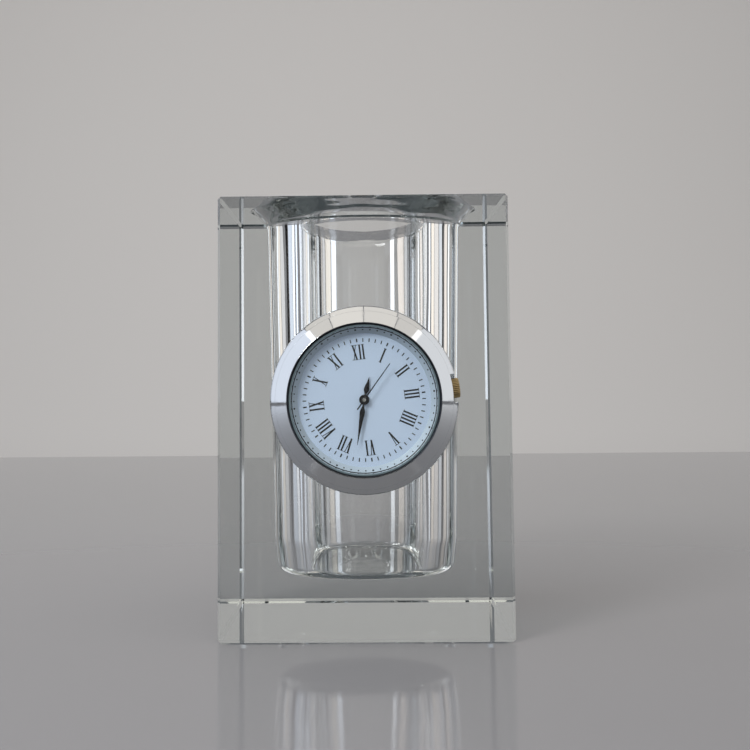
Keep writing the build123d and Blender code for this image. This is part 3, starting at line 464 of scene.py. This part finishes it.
second_cap = solid("second_cap", spun(outline(
    [(0, SECOND_HUB_LOW), (CAP_RADIUS, SECOND_HUB_LOW), (CAP_RADIUS, SECOND_HUB_TOP),
     (CAP_DISH_RADIUS, SECOND_HUB_TOP - CAP_DISH), (CAP_DISH_RADIUS - 0.1, SECOND_HUB_TOP - CAP_DISH),
     (0.1, SECOND_HUB_TOP), (0, SECOND_HUB_TOP)],
    {2: 0.06, 3: 0.03, 4: 0.02}, closed=False), HUB_SEGMENTS), ON_CLOCK)
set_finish(second_cap, "steel")
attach(second_cap, "seconds")

# %% [markdown]
# ## Crown
#
# The crown that sets the hands peeks out of its notch at three o'clock. It is brass with a fine knurl: 32
# rounded flutes round a short cylinder with a chamfer at each end. The radius goes in and out with the angle,
# so it is a turned shape whose radius depends on the angle, and its normals come from the slope of that wave.

# %% Build the crown
CROWN_BASE, CROWN_RADIUS, CROWN_LENGTH, CROWN_CHAMFER, CROWN_BORE = 19.25, 2.2, 1.9, 0.2, 0.37
FLUTES, FLUTE_DEPTH, STEPS_PER_FLUTE = 32, 0.12, 10
DISH_RADIUS, DISH_SLOPE, DISH_DEPTH = 1.5, 0.15, 0.12


def knurled():
    """Faces of a fluted knob along +Z with a shallow dish in its end."""
    steps = FLUTES * STEPS_PER_FLUTE
    profile = [(0, CROWN_LENGTH / 2, 0), (CROWN_BORE, CROWN_LENGTH / 2, 0), (CROWN_BORE, 0, 0),
               (CROWN_RADIUS - CROWN_CHAMFER, 0, 0), (CROWN_RADIUS, CROWN_CHAMFER, 1),
               (CROWN_RADIUS, CROWN_LENGTH - CROWN_CHAMFER, 1), (CROWN_RADIUS - CROWN_CHAMFER, CROWN_LENGTH, 0),
               (DISH_RADIUS, CROWN_LENGTH, 0), (DISH_RADIUS - DISH_SLOPE, CROWN_LENGTH - DISH_DEPTH, 0),
               (0, CROWN_LENGTH - DISH_DEPTH, 0)]
    rings = []
    for radius, height, fluted in profile:
        ring = []
        for step in range(steps):
            angle = 2 * math.pi * step / steps
            wave = (0.5 - 0.5 * math.cos(FLUTES * angle)) ** 2
            reach = radius - FLUTE_DEPTH * wave * fluted
            ring.append((reach * math.cos(angle), reach * math.sin(angle), height))
        rings.append(ring)
    faces = []
    for low, high in zip(rings, rings[1:]):
        for i in range(steps):
            j = (i + 1) % steps
            points = [low[i], low[j], high[j], high[i]]
            if math.hypot(*high[i][:2]) < ON_AXIS:
                points.pop()
            if math.hypot(*low[i][:2]) < ON_AXIS:
                points.pop(0)
            normal = face_normal(points)
            faces.append([(point, normal) for point in points])
    return faces


crown = solid("crown_knob", knurled(), ALONG_STEM @ Matrix.Translation((0, 0, CROWN_BASE)))
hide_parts("crown")
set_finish(crown, "crown_brass")
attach(crown, "crown_knob")

# %% [markdown]
# ## Finishes made of nodes
#
# Every finish starts from a Principled shader, which covers glass, metal and paint alike. Its plain values
# are set on its own sockets. What varies over the surface, such as haze, scratches or the wave of a polished
# face, comes from a few texture nodes. Two helpers do this: one makes a finish, the other adds a node to it.
# Colours are written as hex codes as on a screen, and turned to the linear values that light adds up in.

# %% Helpers for finishes
def linear(code):
    """An sRGB hex colour as linear red, green, blue and alpha."""
    values = [int(code[i:i + 2], 16) / 255 for i in (1, 3, 5)]
    return tuple(v / 12.92 if v <= 0.04045 else ((v + 0.055) / 1.055) ** 2.4 for v in values) + (1.0,)


def finish(name, colour, **sockets):
    """New finish with one Principled shader, as (material, shader)."""
    material = bpy.data.materials.new(name)
    material.use_nodes = True
    shader = material.node_tree.nodes["Principled BSDF"]
    shader.inputs["Base Color"].default_value = linear(colour)
    for socket, value in sockets.items():
        shader.inputs[socket.replace("_", " ")].default_value = value
    return material, shader


def add(material, kind, to=None, output=0, links=None, **settings):
    """Adds a node: settings are its options, links its inputs by name or number, to what its output feeds."""
    node = material.node_tree.nodes.new(kind)
    for option, value in settings.items():
        setattr(node, option, value)
    for socket, value in (links or {}).items():
        if isinstance(value, bpy.types.NodeSocket):
            material.node_tree.links.new(value, node.inputs[socket])
        else:
            node.inputs[socket].default_value = value
    if to is not None:
        material.node_tree.links.new(node.outputs[output], to)
    return node


def per_mm(size):
    """Texture scale at which one cell of a pattern is a size in millimetres."""
    return 1 / (size * MM)


FINISHES = {}
print("white is", [round(v, 3) for v in linear("#FFFFFF")])

# %% [markdown]
# ## Rays that pass the glass
#
# A ray between a lamp and a matt surface can't find its way through bent glass by chance, so the crystal
# would stand in a black shadow, and the dial would be dark under its lens. For such rays alone a glass is a
# clear shader with a tint, which leaves the soft shadow that a real crystal block has. The block's tint is
# darker than the lens's, because thick glass turns much of the light aside.

# %% Let lamps shine through glass
def clear_to_lamps(material, shader, tint):
    """Lets lamp rays and rays from matt surfaces pass a glass finish, with a tint."""
    path = add(material, "ShaderNodeLightPath")
    clear = add(material, "ShaderNodeBsdfTransparent", links={"Color": linear(tint)})
    bounced = add(material, "ShaderNodeMixShader",
                  links={0: path.outputs["Is Diffuse Ray"], 1: shader.outputs[0], 2: clear.outputs[0]})
    add(material, "ShaderNodeMixShader", to=material.node_tree.nodes["Material Output"].inputs["Surface"],
        links={0: path.outputs["Is Shadow Ray"], 1: bounced.outputs[0], 2: clear.outputs[0]})
    print(material.name, "lets lamps through with tint", tint)


# %% [markdown]
# ## Polished optical crystal
#
# The block is clear optical crystal with an index of 1.517, ground and polished. The eye reads it from what
# it bends: bright and dark lines at each edge, and the mirror images in its sides. Its surface has hardly any
# colour, but its body takes away a little light, so that the block looks slightly darker and greener than the
# wall behind it. A volume that absorbs does this, and does more of it where the crystal is thicker.
#
# A faint haze comes from polishing, in patches some 9 mm wide. The flat faces are very even. The drilled wall
# of the well has long shallow waves along it, about 7 mm wide, that bend the upright streaks a little, and
# the bevel at its mouth has rings from its turning, under 2 mm apart, that make a reflection run in zigzags.
# All three are heights of one bump, because two materials on one block would confuse its volume. Masks worked
# out from the distance to the well's axis and from the height say where each belongs.

# %% Finish the crystal
CRYSTAL_IOR = 1.517
# The density is per metre: with this colour, 66 mm of crystal take about a quarter of the light
BODY_COLOUR, BODY_DENSITY = "#C6CDCC", 10.0
HAZE_SIZE, MOST_HAZE = 9, 0.008
MASK_EDGE = 0.5

crystal, crystal_shader = finish("polished_optical_crystal", "#FDFEFE", Roughness=0.0, IOR=CRYSTAL_IOR,
                                 Transmission_Weight=1.0)
place = add(crystal, "ShaderNodeTexCoord")
haze = add(crystal, "ShaderNodeTexNoise", links={"Vector": place.outputs["Object"], "Scale": per_mm(HAZE_SIZE)})
add(crystal, "ShaderNodeMapRange", to=crystal_shader.inputs["Roughness"],
    links={0: haze.outputs[0], 1: 0.45, 2: 0.8, 3: 0.0, 4: MOST_HAZE})

across = add(crystal, "ShaderNodeMapping", links={0: place.outputs["Object"], 3: (1, 1, 0)})
from_axis = add(crystal, "ShaderNodeVectorMath", operation="LENGTH", links={0: across.outputs[0]})
height = add(crystal, "ShaderNodeSeparateXYZ", links={0: place.outputs["Object"]})
bevel_end, bevel_low = WELL_MOUTH + WELL_BEVEL, BLOCK_TOP - WELL_BEVEL
masks = []
for value, nothing, all_of_it in ((from_axis.outputs["Value"], bevel_end + MASK_EDGE, bevel_end),
                                  (height.outputs["Z"], WELL_FLOOR - 1, WELL_FLOOR),
                                  (height.outputs["Z"], bevel_low - MASK_EDGE, bevel_low)):
    mask = add(crystal, "ShaderNodeMapRange", links={0: value, 1: nothing * MM, 2: all_of_it * MM})
    masks.append(mask.outputs[0])


def waves(size, stretch, depth, where):
    """Height of waves of a size and depth in millimetres, stretched along the block, where the masks allow."""
    stretched = add(crystal, "ShaderNodeMapping", links={0: place.outputs["Object"], 3: (1, 1, 1 / stretch)})
    wave = add(crystal, "ShaderNodeTexNoise",
               links={"Vector": stretched.outputs[0], "Scale": per_mm(size), "Detail": 1.0})
    for factor in (depth, *where):
        wave = add(crystal, "ShaderNodeMath", operation="MULTIPLY", links={0: wave.outputs[0], 1: factor})
    return wave.outputs[0]


polished = waves(14, 1, 0.002, [])
drilled = waves(7, 6, 0.12, masks[:2])
turned = waves(14, 0.12, 0.5, masks)
in_the_well = add(crystal, "ShaderNodeMath", operation="ADD", links={0: drilled, 1: turned})
relief = add(crystal, "ShaderNodeMath", operation="ADD", links={0: polished, 1: in_the_well.outputs[0]})
add(crystal, "ShaderNodeBump", to=crystal_shader.inputs["Normal"],
    links={"Strength": 1.0, "Distance": MM, "Height": relief.outputs[0]})
add(crystal, "ShaderNodeVolumeAbsorption", to=crystal.node_tree.nodes["Material Output"].inputs["Volume"],
    links={"Color": linear(BODY_COLOUR), "Density": BODY_DENSITY})
clear_to_lamps(crystal, crystal_shader, "#CCD2D4")
FINISHES["crystal"] = crystal
block.data.materials.append(crystal)

# %% [markdown]
# ## Mineral glass
#
# The lens is ground mineral glass, a little denser than the crystal and thin enough to have no body colour.
# Fingers leave faint smears on it, some 6 mm wide, that dull its gloss in places.

# %% Finish the lens
LENS_IOR = 1.523
SMEAR_SIZE, MOST_SMEAR = 6, 0.03
lens_material, lens_shader = finish("ground_mineral_glass", "#FCFEFD", Roughness=0.0, IOR=LENS_IOR,
                                    Transmission_Weight=1.0)
place_on_lens = add(lens_material, "ShaderNodeTexCoord")
smears = add(lens_material, "ShaderNodeTexNoise",
             links={"Vector": place_on_lens.outputs["Object"], "Scale": per_mm(SMEAR_SIZE)})
add(lens_material, "ShaderNodeMapRange", to=lens_shader.inputs["Roughness"],
    links={0: smears.outputs[0], 1: 0.5, 2: 0.8, 3: 0.0, 4: MOST_SMEAR})
clear_to_lamps(lens_material, lens_shader, "#F4F7F6")
FINISHES["clear_lens"] = lens_material

# %% [markdown]
# ## Chrome plate and the other metals
#
# Case and bezel are brass, polished, nickelled and plated with bright chrome. Chrome is a slightly blue-grey
# mirror. To the eye it is all reflection, so its finish is nearly one number: a very low roughness. Fine
# wiping marks, some 2 mm wide, and a slow wave of the polished metal keep it from looking like a computed
# mirror.
#
# The other metals differ in colour, in how rough they are, and in the size and direction of their grain. One
# function makes them all from these values, and a bump of the same grain tilts the surface a little.

# %% Finish the metals
GRAIN_RELIEF = 0.004  # height of a grain as a share of its size


def metal(name, colour, roughness, spread, grain, stretch, wave=0.0):
    """Metal whose roughness varies in grains of a size in millimetres, stretched along one direction."""
    material, shader = finish(name, colour, Metallic=1.0, Roughness=roughness)
    place = add(material, "ShaderNodeTexCoord")
    along = add(material, "ShaderNodeMapping", links={0: place.outputs["Object"], 3: stretch})
    grains = add(material, "ShaderNodeTexNoise",
                 links={"Vector": along.outputs[0], "Scale": per_mm(grain), "Detail": 4.0})
    add(material, "ShaderNodeMapRange", to=shader.inputs["Roughness"],
        links={0: grains.outputs[0], 1: 0.3, 2: 0.7, 3: roughness, 4: roughness + spread})
    add(material, "ShaderNodeBump", to=shader.inputs["Normal"],
        links={"Strength": 1.0, "Distance": (wave or grain * GRAIN_RELIEF) * MM, "Height": grains.outputs[0]})
    return material


# A mirror with faint wiping marks
FINISHES["chrome_case"] = metal("polished_chrome_plate", "#C2C5C8", 0.02, 0.06, 2.0, (1, 1, 1), 0.004)
# Fine upright lines that spread a highlight sideways
FINISHES["steel"] = metal("brushed_stainless_steel", "#B4B4B2", 0.22, 0.16, 0.25, (1, 1, 0.08))
# Dull grey sheet with short marks of the rollers
FINISHES["iron_core"] = metal("rolled_soft_iron", "#8C8986", 0.32, 0.15, 0.5, (1, 1, 0.3))
# Warm yellow with soft highlights, as wheels and plates have it
FINISHES["brass"] = metal("machined_brass", "#C9A55C", 0.2, 0.15, 0.3, (1, 1, 0.2))
# Paler and less yellow, with a satin gleam on each flute
FINISHES["crown_brass"] = metal("gilt_turned_brass", "#A8946E", 0.25, 0.15, 0.4, (1, 1, 1))
# Fine turns of wire, drawn as lines 0.12 mm apart
FINISHES["copper_wire"] = metal("enamelled_copper_wire", "#B4633A", 0.25, 0.1, 0.12, (0.05, 1, 0.05), 0.02)
# Dark grey and nearly matt
FINISHES["rotor_magnet"] = metal("ground_ferrite_magnet", "#4A4A4C", 0.4, 0.2, 0.2, (1, 1, 1))
print("finishes so far:", len(FINISHES))

# %% [markdown]
# ## Dial, ink and lacquer
#
# The dial is a brass disc under white lacquer with a hint of blue, printed with black ink. The lacquer is
# smooth but not shiny: light lies on it evenly, with a faint grain some 0.25 mm across from spraying. Printed
# ink is a raised matt film. The hands are dipped in black lacquer, which mirrors the lamps as thin lines on
# their bevels.
#
# Paints and plastics have no reflection of their own colour, so they differ in their two close colours, in
# how rough they are and in their grain. Again one function makes them all.

# %% Finish the paints and plastics
PAINT_RELIEF = 0.01  # height of a grain as a share of its size


def painted(name, colour, second, roughness, spread, grain, **sockets):
    """Paint, ink or plastic that drifts between two colours in raised grains of a size in millimetres."""
    material, shader = finish(name, colour, Roughness=roughness, **sockets)
    place = add(material, "ShaderNodeTexCoord")
    grains = add(material, "ShaderNodeTexNoise",
                 links={"Vector": place.outputs["Object"], "Scale": per_mm(grain), "Detail": 3.0})
    add(material, "ShaderNodeMix", to=shader.inputs["Base Color"], output=2, data_type="RGBA",
        links={0: grains.outputs[0], 6: linear(colour), 7: linear(second)})
    add(material, "ShaderNodeMapRange", to=shader.inputs["Roughness"],
        links={0: grains.outputs[0], 1: 0.3, 2: 0.7, 3: roughness, 4: roughness + spread})
    add(material, "ShaderNodeBump", to=shader.inputs["Normal"],
        links={"Strength": 1.0, "Distance": grain * PAINT_RELIEF * MM, "Height": grains.outputs[0]})
    return material


# Even pale blue-white, on which the hands cast soft shadows
FINISHES["white_dial"] = painted("sprayed_white_lacquer", "#CADAF6", "#D2E0F8", 0.38, 0.08, 0.25)
# Dense black with a dull edge of light
FINISHES["black_ink"] = painted("printed_black_ink", "#0A0A0C", "#121215", 0.45, 0.15, 0.1)
# Deep black with thin bright lines along each ridge
FINISHES["black_lacquer"] = painted("dipped_black_lacquer", "#060607", "#0C0B0D", 0.12, 0.08, 0.4,
                                    Coat_Weight=0.3)
# Light blue-grey with a soft sheen, darker than the dial
FINISHES["grey_ring"] = painted("satin_grey_lacquer", "#AEBBCB", "#B6C2D1", 0.3, 0.1, 0.2)
# A thin dull line between glass and chrome
FINISHES["grey_gasket"] = painted("moulded_grey_nylon", "#5F7077", "#6A7B81", 0.3, 0.15, 0.3)
# Nearly black, with a broad weak gleam
FINISHES["black_rubber"] = painted("moulded_black_rubber", "#17171A", "#202022", 0.55, 0.2, 0.2)
# Milky white with a waxy gloss
FINISHES["white_plastic"] = painted("moulded_white_acetal", "#E4E2DA", "#ECEAE4", 0.4, 0.12, 0.5)
# Green film in which the weave shows faintly
FINISHES["green_board"] = painted("solder_resist_on_glass_fibre", "#1E5B3C", "#27694A", 0.3, 0.15, 0.4)
# A black drop that set with an uneven skin
FINISHES["black_epoxy"] = painted("cast_black_epoxy", "#141416", "#1C1C1F", 0.35, 0.2, 0.5)
print("finishes:", len(FINISHES))

# %% [markdown]
# ## Give every piece its finish
#
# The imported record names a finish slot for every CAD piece. The new pieces name theirs when they are made.
# One loop gives each piece the material of its slot, so a change to a finish reaches every piece that has it.

# %% Assign the finishes
record_slots = {row["node"]: row["material_slot"] for row in frame["record"]["subparts"]}
for node_name, obj in frame["nodes"].items():
    for slot in obj.material_slots:
        slot.material = FINISHES[record_slots[node_name]]
for obj in (case, bezel, lens, lens_ring, slope, hour_hand, minute_hand, second_hand, second_cap, crown):
    obj.data.materials.clear()
    obj.data.materials.append(FINISHES[obj["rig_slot"]])
print("CAD pieces painted:", len(record_slots))

# %% [markdown]
# ## Two rings of painted shade round the lens
#
# Two narrow rings of painted shade set the bright cone off from the dial, in the gap between bezel and lens
# where shade falls. One is the inner lip of the bezel, which is turned but not polished and also has a dark
# colour painted on as shade. The other is the top of the sloped ring, painted black as shade where the lens
# lies on it. Both belong to a larger piece, so its faces between two radii get a second material.

# %% Paint shade on the two rings
clock_from_world = ON_CLOCK.inverted()
EDGE_MARGIN, LIP_BELOW = 0.02, 0.3


def paint_shade(obj, material, inner, outer, low, high):
    """Gives the faces of an object between two radii and two levels of the clock a second material as painted
    shade.
    """
    obj.data.materials.append(material)
    count = 0
    for polygon in obj.data.polygons:
        centre = clock_from_world @ polygon.center
        if inner < math.hypot(centre.x, centre.y) < outer and low < centre.z < high:
            polygon.material_index = 1
            count += 1
    print(obj.name, "dark faces:", count)


# Painted shade: unpolished chrome given a dark colour, a dark line with hardly a highlight
painted_shade_lip = metal("painted_shade_chrome_lip", "#3A3D42", 0.3, 0.15, 0.6, (1, 1, 1))
paint_shade(bezel, painted_shade_lip, LENS_SEAT - 1, BEZEL_LIP - EDGE_MARGIN, BEZEL_TOP - LIP_DROP - LIP_BELOW, BEZEL_TOP)
# Painted shade: black ink on the top of the sloped ring under the lens edge, where shade falls
paint_shade(slope, FINISHES["black_ink"], SHADE_RADIUS, SLOPE_OUTER, SHADE_LEVEL, LENS_LOW + 0.1)

# %% [markdown]
# ## Stage
#
# The stage is a plain pale floor with a gloss and a plain pale wall behind it, with nothing else in view.
# Clear crystal has no colour of its own, so these two are what it mostly shows: the wall through its upper
# part, the floor through its lower part, and both once more, upside down, in its top and bottom faces. The
# gloss of the floor gives the block a mirror image to stand on, which tells the eye where it touches the
# floor.

# %% Build the stage
def panel(name, corners, material):
    """Flat part of the stage from its four corners in metres."""
    mesh = bpy.data.meshes.new(name)
    mesh.from_pydata(corners, [], [range(4)])
    mesh.materials.append(material)
    obj = bpy.data.objects.new(name, mesh)
    bpy.context.scene.collection.objects.link(obj)
    return obj


FLOOR_GAP = 0.0002  # keeps the floor's face apart from the block's base
FLOOR_FRONT, FLOOR_EDGE, STAGE_REACH = -1.2, 0.55, 1.5
WALL_PLACE, WALL_FOOT, WALL_HEIGHT = 0.95, -0.6, 1.6
floor_material = finish("plain_pale_floor", "#87878A", Roughness=0.08)[0]
wall_material = finish("plain_pale_wall", "#E9E7E4", Roughness=0.9)[0]
panel("floor", [(-STAGE_REACH, FLOOR_FRONT, -FLOOR_GAP), (STAGE_REACH, FLOOR_FRONT, -FLOOR_GAP),
                (STAGE_REACH, FLOOR_EDGE, -FLOOR_GAP), (-STAGE_REACH, FLOOR_EDGE, -FLOOR_GAP)], floor_material)
panel("wall", [(-STAGE_REACH, WALL_PLACE, WALL_FOOT), (STAGE_REACH, WALL_PLACE, WALL_FOOT),
               (STAGE_REACH, WALL_PLACE, WALL_HEIGHT), (-STAGE_REACH, WALL_PLACE, WALL_HEIGHT)], wall_material)
print("the wall stands", round(WALL_PLACE - FLOOR_EDGE, 2), "m behind the floor's edge")

# %% [markdown]
# ## Lamps
#
# Chrome and crystal are lit by what they mirror, so each lamp is a large soft panel that one surface looks
# at. The upper part of the bezel's cone mirrors a row of four warm panels overhead, and the seams between
# them are the fine lines across it. Its two sides mirror a panel at the front left and one at the front
# right. The key lamp is small and gives the hands their soft shadows on the dial.
#
# The well's sides look out to the left and right of the block and behind it. Narrow upright strips stand
# there, some warm and some cool, and show as upright bands of light in the crystal. Those at 82.5 and 147
# degrees are what the chamfers of the block's rear edges mirror.
#
# A panel's brightness is its power over its area and pi. Near 1, a white surface that looks at it renders
# white. The function takes that brightness and works out the power. Area lamps that overlap add up: the two
# front panels reach a little over the corners of the overhead row, and the cone has a small white patch at
# its upper left and upper right from them.

# %% Light the stage
def lamp(name, turn, lift, distance, width, height, brightness, colour="#FFFFFF", aside=0.0):
    """Soft panel that faces the block. turn and lift are its angles in degrees from straight in front."""
    light = bpy.data.lights.new(name, "AREA")
    light.shape, light.size, light.size_y = "RECTANGLE", width, height
    light.energy = brightness * math.pi * width * height
    light.color = linear(colour)[:3]
    obj = bpy.data.objects.new(name, light)
    around, up = math.radians(turn), math.radians(lift)
    way = Vector((math.sin(around) * math.cos(up), -math.cos(around) * math.cos(up), math.sin(up)))
    obj.location = way * distance + Vector((aside, 0, 0))
    obj.rotation_euler = (-way).to_track_quat("-Z", "Y").to_euler()
    bpy.context.scene.collection.objects.link(obj)
    print(name, "power in watts:", round(light.energy, 2))


PANEL_WIDTH, PANEL_GAP = 0.36, 0.01
for index, brightness in enumerate((0.85, 1.05, 0.95, 0.8)):
    aside = (index - 1.5) * (PANEL_WIDTH + PANEL_GAP)
    lamp(f"overhead_{index}", turn=0, lift=58, distance=1.0, width=PANEL_WIDTH, height=1.1,
         brightness=brightness, colour="#FFF6E8", aside=aside)
lamp("front_left", turn=-62, lift=24.4, distance=0.9, width=0.42, height=0.775, brightness=1.15,
     colour="#EAF2FF")
lamp("front_right", turn=62, lift=24.4, distance=0.9, width=0.42, height=0.775, brightness=0.9)
lamp("key", turn=-42, lift=36, distance=0.86, width=0.24, height=0.24, brightness=23)
STRIPS = [(-147, 0.08, 1.3, "#EAF2FF"), (-138, 0.13, 0.75, "#FFF4E6"), (-126, 0.16, 0.6, "#F4F4F8"),
          (-99, 0.16, 0.8, "#DCE8FA"), (-90, 0.08, 1.2, "#F4F8FF"), (-82.5, 0.055, 1.3, "#E2EEFF"),
          (82.5, 0.055, 1.4, "#F4F8FF"), (91, 0.1, 1.0, "#FFF2E2"), (101, 0.16, 0.8, "#F6EEE8"),
          (113, 0.12, 0.7, "#F4F8FF"), (132, 0.16, 0.8, "#FFF2E8"), (147, 0.08, 1.3, "#F4F8FF")]
for turn, width, brightness, colour in STRIPS:
    lamp(f"strip_{turn}", turn, lift=25, distance=0.8, width=width, height=0.66,
         brightness=brightness, colour=colour)

# %% [markdown]
# ## Dark cards
#
# Clear crystal looks crisp only where dark lines lie between its bright ones. A photographer stands black
# cards beside it. One here is at each side, between the strips, and gives the well's wall a dark streak. A
# wide one behind the camera is what the lens, the ink and the hands mirror, so they stay black. The cards are
# outside the picture. They are hidden from the camera and from the light on matt surfaces, so that other
# views don't show them. The one behind the camera is also hidden from rays through the crystal, or the block
# would look black from behind.

# %% Stand the cards
CARDS = [(0, 0.9, 0.9, 0.5), (-110, 0.84, 0.1, 0.8), (121, 0.84, 0.06, 0.8)]
card_material = finish("black_velvet_card", "#050506", Roughness=1.0, Specular_IOR_Level=0.1)[0]
for turn, distance, width, height in CARDS:
    around = math.radians(turn)
    foot = Vector((math.sin(around), -math.cos(around), 0)) * distance
    side = Vector((math.cos(around), math.sin(around), 0)) * width / 2
    rise = Vector((0, 0, height))
    corners = [foot - side, foot + side, foot + side + rise, foot - side + rise]
    card = panel(f"card_{turn}", corners, card_material)
    card.visible_camera = card.visible_diffuse = card.visible_shadow = False
    card.visible_transmission = turn != 0
print("cards:", len(CARDS))

# %% [markdown]
# ## The room
#
# Everything that no lamp, card or part of the stage covers is an even grey room. It fills the shadows and is
# the quiet part of what chrome and crystal mirror.

# %% Fill the room
ROOM_COLOUR = "#8E8E91"
world = bpy.data.worlds.new("grey_room")
bpy.context.scene.world = world
world.use_nodes = True
background = world.node_tree.nodes["Background"]
background.inputs["Color"].default_value = linear(ROOM_COLOUR)
background.inputs["Strength"].default_value = 1.0
print("room:", ROOM_COLOUR)

# %% [markdown]
# ## Camera
#
# The camera stands 22 cm in front of the block, a little above the middle of its height, and looks slightly
# up. Its place comes from the photograph: the edges of the block are straight and parallel, so the places
# where their images meet give the angles and the distance. A small shift of the lens keeps the block where it
# is in the frame.

# %% Place the camera
PIXELS, SENSOR_WIDTH = 750, 36
FOCAL_PIXELS = 974.7
CAMERA_PLACE = Vector((0.46, -252.1, 56.9)) * MM
YAW, PITCH, ROLL = (math.radians(angle) for angle in (-0.875, 3.74, -0.5))
AXIS_PIXEL = (350.7, 321.1)

camera_data = bpy.data.cameras.new("camera")
camera_data.sensor_width = SENSOR_WIDTH
camera_data.lens = FOCAL_PIXELS / PIXELS * SENSOR_WIDTH
camera_data.shift_x = 0.5 - AXIS_PIXEL[0] / PIXELS
camera_data.shift_y = AXIS_PIXEL[1] / PIXELS - 0.5
camera_data.clip_start = 10 * MM
forward = Vector((math.sin(YAW) * math.cos(PITCH), math.cos(YAW) * math.cos(PITCH), math.sin(PITCH)))
right = Vector((math.cos(YAW), -math.sin(YAW), 0))
upward = right.cross(forward)
right, upward = (math.cos(ROLL) * right + math.sin(ROLL) * upward,
                 math.cos(ROLL) * upward - math.sin(ROLL) * right)
camera = bpy.data.objects.new("camera", camera_data)
camera.matrix_world = Matrix.Translation(CAMERA_PLACE) @ Matrix((right, upward, -forward)).transposed().to_4x4()
bpy.context.scene.collection.objects.link(camera)
bpy.context.scene.camera = camera
print("lens", round(camera_data.lens, 2), "shift", round(camera_data.shift_x, 4), round(camera_data.shift_y, 4))

# %% [markdown]
# ## Render settings
#
# A ray passes many surfaces inside the crystal before it leaves, so the number of bounces is high. Light
# paths that reach a lamp through glass by chance only add bright specks, so they are off.

# %% Render settings
scene = bpy.context.scene
scene.view_settings.view_transform = "Standard"
scene.cycles.max_bounces = 32
scene.cycles.transmission_bounces = 32
scene.cycles.glossy_bounces = 12
scene.cycles.transparent_max_bounces = 32
scene.cycles.caustics_refractive = False
scene.cycles.caustics_reflective = False
